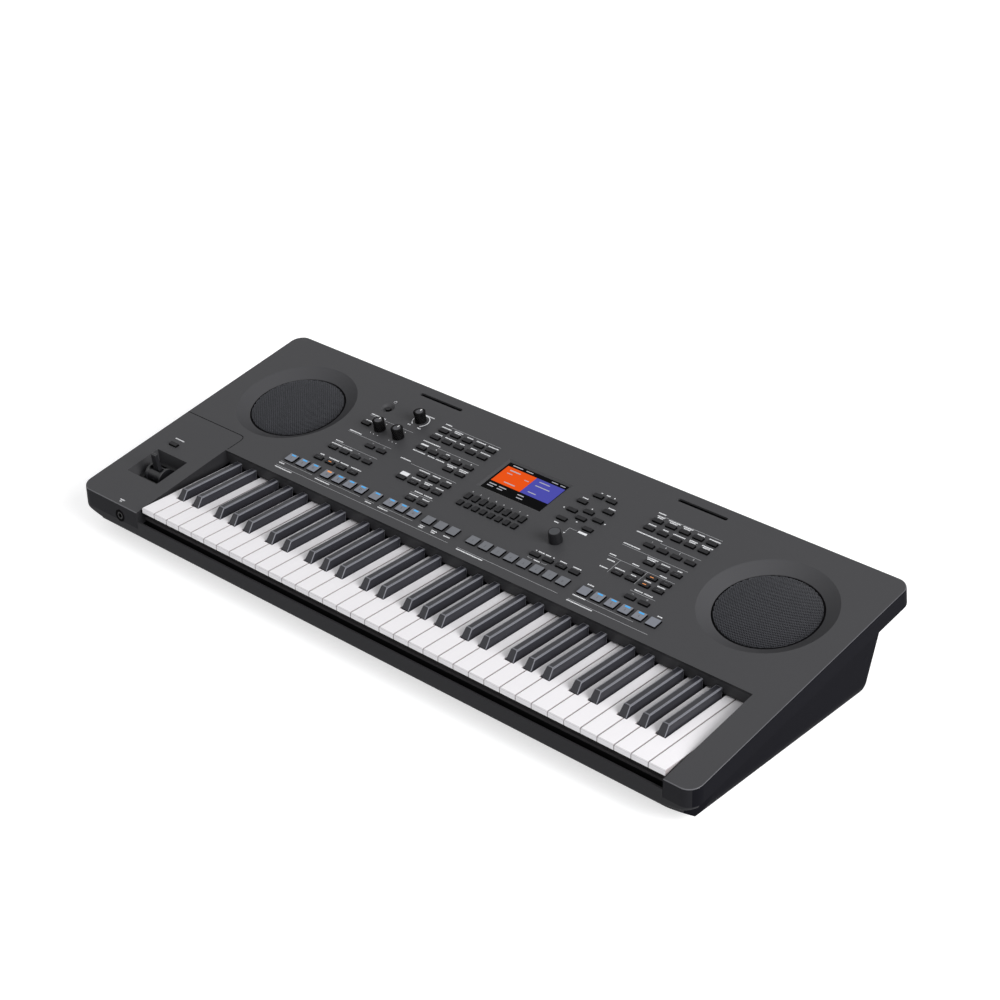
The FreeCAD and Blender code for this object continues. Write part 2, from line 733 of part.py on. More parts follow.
def tub(name, inset, top):
    """The lower case's outline, set in by a wall: side, front and plan outlines cut together."""
    rear_top = (f"(({rim_front} + {slope_tan} * (tub_rear_setback - {inset} - foot_height * {rear_lean})"
                f" + ({top}) / cos(panel_slope)) / (1 - {slope_tan} * {rear_lean}))")
    side = prism(name + "_side", [(f"{front} + {inset}", rim_height(inset, top)),
                                  (f"{front} + {inset}", f"hull_height + {inset} / 2"),
                                  (f"{front} + hull_run", f"foot_height + {inset}"),
                                  (f"{tub_rear} - {inset} + {inset} * {rear_lean}", f"foot_height + {inset}"),
                                  (f"{tub_rear} - {inset} + ({rear_top} - foot_height) * {rear_lean}",
                                   rear_top)],
                 f"2 * ({tub_half} - {inset})")
    front_y = value(f"{front} + {inset}")
    hull = rounded(name + "_hull", side, "hull_round",
                   lambda edge: runs_along(edge, Vector(1, 0, 0)) and lies_at(edge, Vector(0, 1, 0), front_y)
                   and edge.Vertexes[0].Point.z < value(f"hull_height + {inset} / 2 + 1"))
    across = box(name + "_across", (f"-({tub_half} - {inset})", front, f"foot_height + {inset}"),
                 (f"2 * ({tub_half} - {inset})", "case_depth", "2 * front_height"))
    floor_z = value(f"foot_height + {inset}")
    section = rounded(name + "_section", across, f"tub_side_round - {inset}",
                      lambda edge: runs_along(edge, Vector(0, 1, 0)) and lies_at(edge, Vector(0, 0, 1),
                                                                                 floor_z))
    plan = box(name + "_plan", (f"-({tub_half} - {inset})", f"{front} + {inset}", "0"),
               (f"2 * ({tub_half} - {inset})", "case_depth", "3 * front_height"))
    outline = rounded(name + "_outline", plan, f"tub_corner_round - {inset}",
                      lambda edge: runs_along(edge, Vector(0, 0, 1)) and lies_at(edge, Vector(0, 1, 0),
                                                                                 front_y))
    return common(name, [hull, section, outline])


def front_apron():
    """The front face below the skirt, flush with it, whose lower edge sweeps up to the skirt at both ends."""
    side = prism("apron_side", [(front, rim_height("0")), (front, "hull_height"),
                                (f"{front} + apron_depth", "hull_height"),
                                (f"{front} + apron_depth", rim_height("apron_depth"))], "case_width")
    block = box("apron_block", (f"-{half_width}", front, "0"),
                ("case_width", "case_depth", "3 * front_height"))
    front_y = value(front)
    plan = rounded("apron_plan", block, "corner_radius",
                   lambda edge: runs_along(edge, Vector(0, 0, 1)) and lies_at(edge, Vector(0, 1, 0), front_y))
    rise = f"({rim_front} - hull_height)"
    flat = f"({half_width} - sqrt(2 * apron_sweep * {rise} - {rise} ^ 2))"
    spans = [box("apron_middle", (f"-{flat}", front, "hull_height"),
                 (f"2 * {flat}", "case_depth", "case_depth"))]
    for end, sign in (("left", "-"), ("right", "")):
        spans.append(cylinder(f"apron_{end}_sweep", (f"{sign}{flat}", front, "hull_height + apron_sweep"),
                              "apron_sweep", "case_depth", Vector(0, 1, 0)))
    whole = common("apron_whole", [side, plan, fuse("apron_section", spans)])
    bend_x, bend_y, bend = (value(text) for text in (f"{half_width} - corner_radius",
                                                     f"{front} + corner_radius",
                                                    "corner_radius"))

    def on_front_outline(point):
        return (abs(point.y - front_y) < 0.01
                or abs(((abs(point.x) - bend_x) ** 2 + (point.y - bend_y) ** 2) ** 0.5 - bend) < 0.01)

    def under_edge(edge):
        middle = edge.valueAt((edge.FirstParameter + edge.LastParameter) / 2)
        points = [vertex.Point for vertex in edge.Vertexes] + [middle]
        below_rim = middle.z < value(rim_front) - 0.5
        return below_rim and not runs_along(edge, Vector(0, 0,
                                                         1)) and all(on_front_outline(p) for p in points)

    return rounded("front_apron", whole, "apron_round", under_edge)


def build_lower_case():
    """The tub, with the ledge that closes the skirt, the front lip, bosses and socket holes."""
    outside = tub("tub_outside", "0", "0")
    inside = tub("tub_inside", "wall", "wall + 1")
    gap = "(wall + fit)"
    ledge = prism("ledge", [(f"{gap} / cos(panel_slope) - skirt_height * {slope_tan}", "-skirt_height"),
                            (f"{panel_length} - {gap}", "-skirt_height"),
                            (f"{panel_length} - {gap}", "wall - skirt_height"),
                            (f"{gap} / cos(panel_slope) - (skirt_height - wall) * {slope_tan}",
                             "wall - skirt_height")], f"case_width - 2 * {gap}")
    ledge_plate = rounded("ledge_corners", ledge, f"corner_radius - {gap}",
                          lambda edge: runs_along(edge, Vector(0, 0, 1)))
    bind(ledge_plate, Placement=panel_frame)
    lip = box("front_lip", (f"{well_left} + fit", front, f"{rim_front} - wall"),
              (f"{well_width} - 2 * fit", "wall", f"lip_height - {rim_front} + wall"))
    shell = cut("tub_shell", fuse("tub_full", [outside, front_apron(), ledge_plate, lip]), inside)

    columns = []
    floor_in = "(foot_height + wall / 2)"
    for index, share in enumerate(("0.04", "0.27", "0.5", "0.73", "0.96")):
        for end, level in (("front", f"{key_y} + 46"), ("rear", f"{pivot_y} - 16")):
            columns.append(cylinder(f"bed_boss_{end}_{index}",
                                    (f"{key_x} + {share} * {key_span}", level, floor_in),
                                    "post_radius", f"bed_height - {floor_in}"))
    for x in ("-main_board_width / 2 + 6", "main_board_width / 2 - 6"):
        for y in ("main_board_gap + 6", "main_board_gap + main_board_length - 6"):
            columns.append(cylinder("main_board_boss", (x, f"{tub_rear} - ({y})", floor_in), "post_radius",
                                    f"main_board_height - {floor_in}"))
    bosses = []
    for index, (x, y) in enumerate(side_posts):
        bosses.append(cylinder(f"screw_boss_{index}", (x, y, "-2 * front_height"), "post_radius + wall",
                               "2 * front_height - side_post_depth"))
    boss_set = group("screw_boss_set", bosses)
    bind(boss_set, Placement=panel_frame)
    trimmed = common("screw_bosses", [boss_set, outside])
    body = fuse("tub_body", [shell, trimmed] + columns)

    tools = []
    for index, (x, y) in enumerate(side_posts):
        tools.append(cylinder(f"screw_way_{index}", (x, y, "-2 * front_height"), "screw_radius + 0.2",
                              "2 * front_height"))
        tools.append(cylinder(f"screw_well_{index}", (x, y, "-2 * front_height"), "screw_head_radius + fit",
                              "2 * front_height - side_post_depth - 2 * wall"))
    for index, (x, y) in enumerate(shelf_posts):
        tools.append(cylinder(f"shelf_way_{index}", (x, y, "-skirt_height - wall"), "screw_radius + 0.2",
                              "3 * wall"))
    panel_tools = group("screw_holes", tools)
    bind(panel_tools, Placement=panel_frame)
    ports = []
    for index, bore in enumerate(round_sockets):
        ports.append(cylinder(f"port_{index}", (socket_x(index), "-socket_rise", "-2 * wall"),
                              "jack_bush + fit",
                              "4 * wall"))
    usb_hole = ("usb_width + 2 * usb_shell + 2 * fit", "usb_height + 2 * usb_shell + 2 * fit")
    ports.append(frustum("usb_port", (socket_x(len(round_sockets)), "-socket_rise", "-2 * wall"), usb_hole,
                         usb_hole,
                         "4 * wall"))
    port_set = group("ports", ports)
    bind(port_set, Placement=rear_frame)
    node("lower_case", cut("lower_case", body, group("tub_holes", [panel_tools, port_set])))


# Rear sockets: two pedal jacks, two output jacks, an aux jack and the power inlet, then a data socket
round_sockets = ["jack_bore", "jack_bore", "jack_bore", "jack_bore", "mini_jack_bore", "jack_bore"]


def socket_x(index):
    return f"(socket_column + {index} * socket_pitch)"


def jack(name, x, y, bore, thick):
    """A jack behind a wall whose outside is z = 0: bush through the wall, body inside, blind bore."""
    bush = cylinder(name + "_bush", (x, y, "-2 * wall"), "jack_bush", "2 * wall")
    body = frustum(name + "_body", (x, y, "-jack_length"), ("jack_body", "jack_body"),
                   ("jack_body", "jack_body"),
                   f"jack_length - {thick}")
    hole = cylinder(name + "_way", (x, y, "-jack_bore_length"), bore, "jack_bore_length")
    return cut(name, fuse(name + "_full", [bush, body]), hole)


def build_sockets():
    thick = f"wall * cos({wall_lean})"
    rear = [jack(f"rear_jack_{index}", socket_x(index), "-socket_rise", bore, thick)
            for index, bore in enumerate(round_sockets)]
    usb_x = socket_x(len(round_sockets))
    usb_outer = ("usb_width + 2 * usb_shell", "usb_height + 2 * usb_shell")
    shell = frustum("usb_outer", (usb_x, "-socket_rise", "-jack_length + 6"), usb_outer, usb_outer,
                    "jack_length - 6")
    hole = frustum("usb_inner", (usb_x, "-socket_rise", "-jack_length + 9"), ("usb_width", "usb_height"),
                   ("usb_width", "usb_height"), "jack_length - 9")
    block = frustum("usb_block", (usb_x, "-socket_rise", "-jack_length + 6"), ("jack_body + 4", "jack_body"),
                    ("jack_body + 4", "jack_body"), f"jack_length - 6 - {thick}")
    rear.append(cut("usb_socket", fuse("usb_full", [shell, block]), hole))
    rear_set = group("rear_sockets", rear)
    bind(rear_set, Placement=rear_frame)
    node("rear_sockets", rear_set)
    phones = jack("phones", phones_x, "0", "jack_bore", "wall")
    bind(phones, Placement=turned(("0", front, "phones_height"), "90"))
    node("headphone_jack", phones)


def build_speakers():
    grilles = []
    drivers = []
    for index, (x, y) in enumerate(speaker_places):
        grilles.append(cylinder(f"grille_{index}", (x, y, f"-{ledge_depth}"), "grille_radius",
                                "grille_thick"))
        face = f"({ledge_depth} + wall)"
        rim = cylinder(f"driver_rim_{index}", (x, y, f"-{face} - 4"), "driver_rim", "4")
        basket = cone(f"driver_basket_{index}", (x, y, f"-{face} - driver_depth"), "magnet_radius + 2",
                      "speaker_opening", "driver_depth")
        magnet = cylinder(f"driver_magnet_{index}", (x, y, f"-{face} - driver_depth - magnet_height"),
                          "magnet_radius", "magnet_height + 1")
        throat = cone(f"driver_cone_{index}", (x, y, f"-{face} - driver_depth / 2"), "magnet_radius / 2",
                      "speaker_opening - 6", "driver_depth / 2")
        cap = cone(f"driver_cap_{index}", (x, y, f"-{face} - driver_depth / 2 - 1"), "magnet_radius / 2 + 1",
                   "magnet_radius / 4", "8")
        drivers.append(fuse(f"driver_{index}", [cut(f"driver_frame_{index}",
                                                    fuse(f"driver_solid_{index}", [rim, basket, magnet]),
                                                    throat), cap]))
    node("speaker_grilles", bind(group("speaker_grilles", grilles), Placement=panel_frame))
    node("speaker_drivers", bind(group("speaker_drivers", drivers), Placement=panel_frame))


def build_display():
    width = "(display_width + 2 * display_lap)"
    height = "(display_height + 2 * display_lap)"
    under = "(-display_depth - lens_thick)"
    lens = frustum("display_lens", ("display_column", "display_setback", under), (width, height),
                   (width, height),
                   "lens_thick")
    module = frustum("display_module", ("display_column", "display_setback", f"{under} - module_thick"),
                     (width, height), (width, height), "module_thick")
    node("display_lens", bind(group("lens_place", [lens]), Placement=panel_frame))
    node("display_module", bind(group("module_place", [module]), Placement=panel_frame))


def build_boards():
    boards = [box(label, (left, near, "-board_depth - board_thick"), (f"{right} - {left}", f"{far} - {near}",
                                                                     "board_thick"))
              for label, (left, right, near, far) in board_edges.items()]
    panel_boards = bind(group("panel_boards", boards), Placement=panel_frame)
    switches = []
    for name, low in (("switch", flange_low()), ("power_switch", power_low)):
        switches.append(frustum(name, ("0", "0", "-board_depth"), ("switch_size", "switch_size"),
                                ("switch_size", "switch_size"),
                                f"board_depth + {low} - button_travel - fit / 2"))
    doc.recompute()
    places = [spot(place) for label in button_groups for kind, spots in cap_sets(label) for place in spots]
    switches = copies("tact_switches", [(switches[0].Shape, places),
                                        (switches[1].Shape, [spot(power_place)])])
    switches.Placement = frame_value(panel_base, "panel_slope")
    pots = []
    for label, (x, y) in knob_places.items():
        tall = "dial_height" if label == "data_dial" else "knob_height"
        body = frustum(label + "_pot", (x, y, "-board_depth"), ("pot_size", "pot_size"),
                       ("pot_size", "pot_size"),
                       "board_depth - wall - 1")
        shaft = cylinder(label + "_shaft", (x, y, "-board_depth"), "shaft_radius",
                         f"board_depth + {tall} - 3.6")
        pots.append(fuse(label + "_pot_shaft", [body, shaft]))
    pot_set = bind(group("potentiometers", pots), Placement=panel_frame)
    node("panel_switches", group("panel_switches", [switches, pot_set]))
    board = box("main_board_plate", ("-main_board_width / 2",
                                     f"{tub_rear} - main_board_gap - main_board_length",
                                     "main_board_height"),
                ("main_board_width", "main_board_length", "board_thick"))
    sink = box("heat_sink", ("-main_board_width / 4", f"{tub_rear} - main_board_gap - main_board_length / 2",
                             "main_board_height + board_thick / 2"), ("main_board_width / 3", "12", "14"))
    node("circuit_boards", group("circuit_boards", [panel_boards, fuse("main_board", [board, sink])]))


def natural_tail(group_start, group_keys, place):
    """Left edge and width of a natural's tail, which shares its group's width with the sharps."""
    width = f"(({group_keys} * key_pitch - {group_keys - 1} * sharp_slot) / {group_keys})"
    left = f"({key_x} + {group_start} * key_pitch + {place} * ({width} + sharp_slot))"
    return left, width


def key_stem(name, middle, start):
    """The narrow rear end of a key, which carries its pivot."""
    return box(name, (f"{middle} - stem_width / 2", f"{key_y} + {start}",
                      "key_top - stem_drop - stem_height"),
               ("stem_width", f"key_reach + stem_overhang - ({start})", "stem_height"))


def pivot_bore(name, middle):
    return cylinder(name, (f"{middle} - stem_width", pivot_y, pivot_z), "pivot_radius + fit",
                    "2 * stem_width",
                    Vector(1, 0, 0))


def natural_key(name, index, tail_left, tail_width):
    """A natural: wide head, tail between the sharps, stem, all hollow below."""
    left = f"({key_x} + {index} * key_pitch + key_gap / 2)"
    width = "(key_pitch - key_gap)"
    low = "(key_top - key_thick)"
    head_length = "(sharp_setback - key_gap)"
    tail_x = f"({tail_left} + key_gap / 2)"
    tail_size = f"({tail_width} - key_gap)"
    middle = f"({tail_left} + {tail_width} / 2)"
    head = box(name + "_head", (left, key_y, low), (width, head_length, "key_thick"))
    tail = box(name + "_tail", (tail_x, f"{key_y} + {head_length} - key_skin", low),
               (tail_size, f"tail_length - {head_length} + key_skin", "key_thick"))
    stem = key_stem(name + "_stem", middle, "tail_length - key_skin")
    solid = fuse(name + "_solid", [head, tail, stem])
    under = f"{low} - 1"
    deep = "key_thick - key_skin + 1"
    head_hollow = box(name + "_head_hollow", (f"{left} + key_skin", f"{key_y} + key_skin", under),
                      (f"{width} - 2 * key_skin", f"{head_length} - 2 * key_skin", deep))
    tail_hollow = box(name + "_tail_hollow", (f"{tail_x} + key_skin", f"{key_y} + {head_length} + key_skin",
                                              under),
                      (f"{tail_size} - 2 * key_skin", f"tail_length - {head_length} - 3 * key_skin", deep))
    tools = group(name + "_hollows", [head_hollow, tail_hollow, pivot_bore(name + "_bore", middle)])
    plain = cut(name + "_plain", solid, tools)
    top, near = value("key_top"), value(key_y)
    return rounded(name, plain, "key_chamfer",
                   lambda edge: lies_at(edge, Vector(0, 0, 1), top) and lies_at(edge, Vector(0, 1, 0), near),
                   "Part::Chamfer")


def sharp_key(name, middle):
    """A sharp: tapered block with a sloping front on a body that runs back to the pivot."""
    near = f"({key_y} + sharp_setback)"
    base = box(name + "_base", (f"{middle} - sharp_width / 2", near, "key_top - key_thick"),
               ("sharp_width", "sharp_length", "key_thick"))
    block = doc.addObject("Part::Wedge", name + "_block")
    block.Placement = Placement(Vector(), Rotation(Vector(1, 0, 0), 90))
    bind(block, Ymin="0", Ymax="sharp_height", Xmin="-sharp_width / 2", Xmax="sharp_width / 2",
         X2min="-sharp_top_width / 2", X2max="sharp_top_width / 2", Zmin="-sharp_length", Zmax="0",
         Z2min="-sharp_length", Z2max="-sharp_front_run")
    seat(block, (middle, near, "key_top"))
    stem = key_stem(name + "_stem", middle, "sharp_setback + sharp_length - 12")
    solid = fuse(name + "_solid", [base, block, stem])
    hollow = box(name + "_hollow", (f"{middle} - sharp_top_width / 2 + key_skin",
                                    f"{near} + sharp_front_run + key_skin", "key_top - key_thick - 1"),
                 ("sharp_top_width - 2 * key_skin", "sharp_length - sharp_front_run - 12 - 2 * key_skin",
                  "key_thick + sharp_height - key_skin + 1"))
    tools = group(name + "_spaces", [hollow, pivot_bore(name + "_bore", middle)])
    plain = cut(name + "_plain", solid, tools)
    top = value("key_top + sharp_height")
    return rounded(name, plain, "sharp_chamfer", lambda edge: lies_at(edge, Vector(0, 0, 1), top),
                   "Part::Chamfer")


# Naturals and sharps of one octave: name, place in the octave, first key and number of keys of its group
naturals = [("c", 0, 0, 3), ("d", 1, 0, 3), ("e", 2, 0, 3),
            ("f", 3, 3, 4), ("g", 4, 3, 4), ("a", 5, 3, 4), ("b", 6, 3, 4)]
sharps = [("c_sharp", 0, 0, 3), ("d_sharp", 1, 0, 3),
          ("f_sharp", 3, 3, 4), ("g_sharp", 4, 3, 4), ("a_sharp", 5, 3, 4)]


def build_keys():
    octave_places = [(index * 7 * value("key_pitch"), 0, 0) for index in range(int(value("octaves")))]
    shapes = {}
    for letter, index, start, keys in naturals:
        tail_left, tail_width = natural_tail(start, keys, index - start)
        shapes["key_" + letter] = natural_key("natural_" + letter, index, tail_left, tail_width)
    for letter, index, start, keys in sharps:
        tail_left, tail_width = natural_tail(start, keys, index - start)
        shapes["key_" + letter] = sharp_key("sharp_" + letter,
                                            f"({tail_left} + {tail_width} + sharp_slot / 2)")
    last = f"({key_x} + 7 * octaves * key_pitch)"
    top_key = natural_key("natural_top_c", "7 * octaves", last, "key_pitch")
    doc.recompute()
    for label, part in shapes.items():
        node(label, copies(label, [(part.Shape, octave_places)]))
    node("key_top_c", top_key)


def build_keybed():
    """The chassis under the keys: plate, front stop, pivot ears and the rail for the contact board."""
    left = f"({key_x} - 2)"
    width = f"({key_span} + 4)"
    near = f"({key_y} + 5)"
    plate = box("bed_plate", (left, near, "bed_height"),
                (width, "key_reach + stem_overhang + 4", "bed_thick"))
    stop_top = "(key_top - key_thick - key_travel - felt_thick)"
    stop = box("bed_stop", (left, near, "bed_height"), (width, "felt_width", f"{stop_top} - bed_height"))
    rails = [box(f"bed_rail_{end}", (left, f"{key_y} + contact_setback + {shift}", "bed_height"),
                 (width, "bed_thick", "contact_height - bed_height"))
             for end, shift in (("front", "0"), ("rear", "contact_width - bed_thick"))]
    edges = [f"({key_x} + {step} * key_pitch)" for octave in range(int(value("octaves")))
             for step in (7 * octave, 7 * octave + 3)] + [f"({key_x} + 7 * octaves * key_pitch)"]
    ears = [box(f"ear_{index}", (f"{edge} - ear_thick / 2", f"{pivot_y} - 7", "bed_height"),
                ("ear_thick", "14", f"{pivot_z} + 5 - bed_height")) for index, edge in enumerate(edges)]
    ears.append(box("last_ear", (f"{key_x} + {key_span} - ear_thick / 2", f"{pivot_y} - 7", "bed_height"),
                    ("ear_thick", "14", f"{pivot_z} + 5 - bed_height")))
    bore = cylinder("rod_way", (left, pivot_y, pivot_z), "pivot_radius + 0.1", width, Vector(1, 0, 0))
    node("keybed", cut("keybed", fuse("keybed_solid", [plate, stop] + rails + ears), bore))
    node("key_pivot_rod", cylinder("key_pivot_rod", (left, pivot_y, pivot_z), "pivot_radius", width,
                                   Vector(1, 0, 0)))
    node("key_felt", box("key_felt", (left, near, stop_top), (width, "felt_width", "felt_thick")))
    node("key_contact_board", box("key_contact_board", (left, f"{key_y} + contact_setback", "contact_height"),
                                  (width, "contact_width", "board_thick")))
    strip_z = "(contact_height + board_thick)"
    sheet_part = box("contact_sheet", (left, f"{key_y} + contact_setback + 4", strip_z),
                     (width, "contact_width - 8",
                                                                                       "1"))
    dome = frustum("contact_dome", ("0", f"{key_y} + contact_setback + contact_width / 2",
                                    f"{strip_z} + 0.5"),
                   ("7", "14"), ("5", "10"), "dome_height - 0.5")
    doc.recompute()
    slots = []
    for start, keys in ((0, 3), (3, 4)):
        for place in range(keys):
            tail_left, tail_width = natural_tail(start, keys, place)
            slots.append(value(f"{tail_left} + {tail_width} / 2"))
            if place < keys - 1:
                slots.append(value(f"{tail_left} + {tail_width} + sharp_slot / 2"))
    octave = 7 * value("key_pitch")
    places = [(slot + index * octave, 0, 0) for index in range(int(value("octaves"))) for slot in slots]
    places.append((value(f"{key_x} + (7 * octaves + 0.5) * key_pitch"), 0, 0))
    domes = copies("contact_domes", [(dome.Shape, places)])
    node("contact_rubber", fuse("contact_rubber", [sheet_part, domes]))


def build_joystick():
    """A drum that rocks fore and aft in its housing, with a lever that rocks sideways in the drum."""
    x, y, z = (stick_x, "stick_row", "(-drum_depth)")
    half = "(drum_length / 2)"
    ear = "3"
    pin = f"({half} + fit + {ear})"
    drum = [cylinder("drum_body", (f"{x} - {half}", y, z), "drum_radius - drum_waist", "drum_length",
                     Vector(1, 0, 0))]
    for end, edge in (("left", f"-{half}"), ("right", f"{half} - drum_flange")):
        drum.append(cylinder(f"drum_{end}_flange", (f"{x} + {edge}", y, z), "drum_radius", "drum_flange",
                             Vector(1, 0, 0)))
    axle = cylinder("drum_axle", (f"{x} - {pin}", y, z), "drum_pin_radius", f"2 * {pin}", Vector(1, 0, 0))
    reach = "(drum_radius + 1)"
    slot_half = f"(lever_width / 2 + 1 + {reach} * tan(lever_swing + 2))"
    slot = box("drum_slot", (f"{x} - {slot_half}", f"{y} - lever_thick / 2 - 0.5",
                             f"{z} - lever_width / 2 - 1"),
               (f"2 * {slot_half}", "lever_thick + 1", f"lever_width / 2 + 1 + {reach}"))
    cross = cylinder("drum_cross_pin", (x, f"{y} - drum_radius + 2", z), "lever_pin_radius",
                     "2 * drum_radius - 4",
                     Vector(0, 1, 0))
    slotted = cut("drum_slotted", fuse("drum_axled", drum + [axle]), slot)
    node("joystick_drum", bind(fuse("joystick_drum", [slotted, cross]), Placement=panel_frame))

    hub = cylinder("lever_hub", (x, f"{y} - lever_thick / 2", z), "lever_width / 2", "lever_thick",
                   Vector(0, 1, 0))
    blade = frustum("lever_blade", (x, y, z), ("lever_width", "lever_thick"),
                    ("lever_tip_width", "lever_thick * 0.7"),
                    "lever_length")
    eye = cylinder("lever_eye", (x, f"{y} - lever_thick", z), "lever_pin_radius + fit", "2 * lever_thick",
                   Vector(0, 1, 0))
    node("joystick_lever", bind(cut("joystick_lever", fuse("lever_solid", [hub, blade]), eye),
                                Placement=panel_frame))

    width = f"(2 * {half} + 2 * fit + 2 * {ear})"
    length = "(2 * drum_radius + 4)"
    low = "(-housing_depth)"
    top = "(-stick_well_depth)"
    deck = frustum("housing_deck", (x, y, f"{top} - wall"), ("stick_well_width", "stick_well_length"),
                   ("stick_well_width", "stick_well_length"), "wall")
    outer = frustum("housing_outer", (x, y, low), (width, f"{length} + 2 * {ear}"),
                    (width, f"{length} + 2 * {ear}"), f"housing_depth + {top}")
    inner = frustum("housing_inner", (x, y, f"{low} + wall"), (f"2 * {half} + 2 * fit", length),
                    (f"2 * {half} + 2 * fit", length), "housing_depth")
    ways = cylinder("axle_way", (f"{x} - {pin} - 1", y, z), "drum_pin_radius + fit", f"2 * {pin} + 2",
                    Vector(1, 0, 0))
    node("joystick_housing", bind(cut("joystick_housing", fuse("housing_solid", [deck, outer]),
                                      group("housing_spaces", [inner, ways])), Placement=panel_frame))


def build_fasteners():
    feet = []
    for sign in ("-", ""):
        for setback in ("foot_front_setback", "foot_rear_setback"):
            feet.append(cone("foot", (f"{sign}({half_width} - foot_inset)", f"{front} + {setback}", "0"),
                             "foot_radius - 1", "foot_radius", "foot_height"))
    node("rubber_feet", group("rubber_feet", feet))
    screws = []
    seats = [(place, "side_post_depth + 2 * wall", "2 * wall + side_post_depth / 3") for place in side_posts]
    seats += [(place, "skirt_height", "wall + skirt_height / 3") for place in shelf_posts]
    for (x, y), depth, length in seats:
        head = cylinder("screw_head", (x, y, f"-({depth}) - screw_head_height"), "screw_head_radius",
                        "screw_head_height")
        shank = cylinder("screw_shank", (x, y, f"-({depth}) - 1"), "screw_radius", f"{length} + 1")
        screws.append(fuse("screw", [head, shank]))
    node("case_screws", bind(group("case_screws", screws), Placement=panel_frame))


build_upper_case()
build_lower_case()
build_sockets()
build_speakers()
build_display()
build_boards()
build_buttons()
build_knobs()
build_keys()
build_keybed()
build_joystick()
build_fasteners()
doc.recompute()

for part in doc.Objects:
    if "Invalid" in part.State or "Error" in part.State:
        raise RuntimeError(f"{part.Label} failed: {part.State}")
for label, part in nodes.items():
    if part.Shape.isNull() or not part.Shape.isValid():
        raise RuntimeError(f"{label} has no valid shape")

os.makedirs("parts", exist_ok=True)
for label, part in nodes.items():
    part.Shape.exportStep(f"parts/{label}.step")
    print(label, len(part.Shape.Solids), round(part.Shape.Volume))
print(len(nodes), "nodes")
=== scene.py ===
import bpy
import bmesh
import math
import random
from mathutils import Matrix, Vector


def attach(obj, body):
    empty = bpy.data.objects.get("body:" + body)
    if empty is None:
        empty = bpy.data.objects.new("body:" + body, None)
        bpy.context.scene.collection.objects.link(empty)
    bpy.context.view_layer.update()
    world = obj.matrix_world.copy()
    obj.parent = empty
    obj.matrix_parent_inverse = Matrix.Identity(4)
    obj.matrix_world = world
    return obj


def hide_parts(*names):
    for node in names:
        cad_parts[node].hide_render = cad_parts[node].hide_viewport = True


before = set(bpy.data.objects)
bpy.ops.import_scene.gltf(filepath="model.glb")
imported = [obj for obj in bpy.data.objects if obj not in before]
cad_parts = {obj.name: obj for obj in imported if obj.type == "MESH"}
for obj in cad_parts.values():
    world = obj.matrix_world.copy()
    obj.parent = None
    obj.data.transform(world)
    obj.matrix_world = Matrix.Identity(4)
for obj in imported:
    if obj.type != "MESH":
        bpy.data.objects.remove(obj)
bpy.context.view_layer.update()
print("frame loaded:", len(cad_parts), "nodes")

mm = 0.001
random.seed(7)

panel = {"front": -202, "height": 64.8, "slope": 9.82}   # control panel: front edge, height there, tilt in degrees
panelTurn = (Matrix.Translation((0, panel["front"] * mm, panel["height"] * mm))
             @ Matrix.Rotation(math.radians(panel["slope"]), 4, "X"))

limits = {   # what the tools below take as alike
    "along": 0.9,   # cosine to an axis
    "flat": 0.99,   # cosine to Z of a level face
    "level": 0.02,   # mm between heights
    "plane": 0.003,   # radians between faces of one plane
    "weld": 0.002,   # mm between points that are one
    "dissolve": 0.5,   # degrees between faces that become one
}


# small tools for modelling by hand
def startFresh():
    if bpy.context.object and bpy.context.object.mode != "OBJECT":
        bpy.ops.object.mode_set(mode="OBJECT")
    bpy.ops.object.select_all(action="DESELECT")


def makeActive(piece):
    startFresh()
    piece.select_set(True)
    bpy.context.view_layer.objects.active = piece


def addBlock(size, centre):
    startFresh()
    bpy.ops.mesh.primitive_cube_add(size=1, location=[c * mm for c in centre])
    bpy.context.object.scale = [s * mm for s in size]
    bpy.ops.object.transform_apply(location=True, rotation=True, scale=True)
    return bpy.context.object


def addRound(radius, height, centre, sides=48):
    startFresh()
    bpy.ops.mesh.primitive_cylinder_add(vertices=sides, radius=radius * mm, depth=height * mm,
                                        location=[c * mm for c in centre])
    bpy.ops.object.transform_apply(location=True, rotation=True, scale=True)
    return bpy.context.object


def pick(piece, kind, test):
    makeActive(piece)
    bpy.ops.object.mode_set(mode="EDIT")
    bpy.ops.mesh.select_mode(type=kind)
    bpy.ops.mesh.select_all(action="DESELECT")
    mesh = bmesh.from_edit_mesh(piece.data)
    parts = {"FACE": mesh.faces, "EDGE": mesh.edges, "VERT": mesh.verts}[kind]
    for part in parts:
        part.select_set(bool(test(part)))
    mesh.select_flush_mode()
    bmesh.update_edit_mesh(piece.data)


def pickAll(piece):
    makeActive(piece)
    bpy.ops.object.mode_set(mode="EDIT")
    bpy.ops.mesh.select_all(action="SELECT")


def done():
    bpy.ops.object.mode_set(mode="OBJECT")


def edgeRun(edge):
    return (edge.verts[1].co - edge.verts[0].co).normalized()


def upright(edge):
    return abs(edgeRun(edge).z) > limits["along"]


def creased(edge, angle):
    return len(edge.link_faces) == 2 and edge.calc_face_angle(0) > math.radians(angle)


def facesUp(face):
    return face.normal.z > limits["along"]


def facesDown(face):
    return face.normal.z < -limits["along"]


def flatTop(face):
    return face.normal.z > limits["flat"]


def atHeight(part, height):
    return all(abs(v.co.z - height * mm) < limits["level"] * mm for v in part.verts)


def roundEdges(piece, test, size, segments=2, material=-1):
    pick(piece, "EDGE", test)
    bpy.ops.mesh.bevel(offset=size * mm, segments=segments, affect="EDGES", material=material)
    done()


def insetFaces(piece, test, width, depth=0.0):
    pick(piece, "FACE", test)
    bpy.ops.mesh.inset(thickness=width * mm, depth=depth * mm)
    done()


def paint(piece, index, test=lambda face: True):
    for face in piece.data.polygons:
        if test(face):
            face.material_index = index


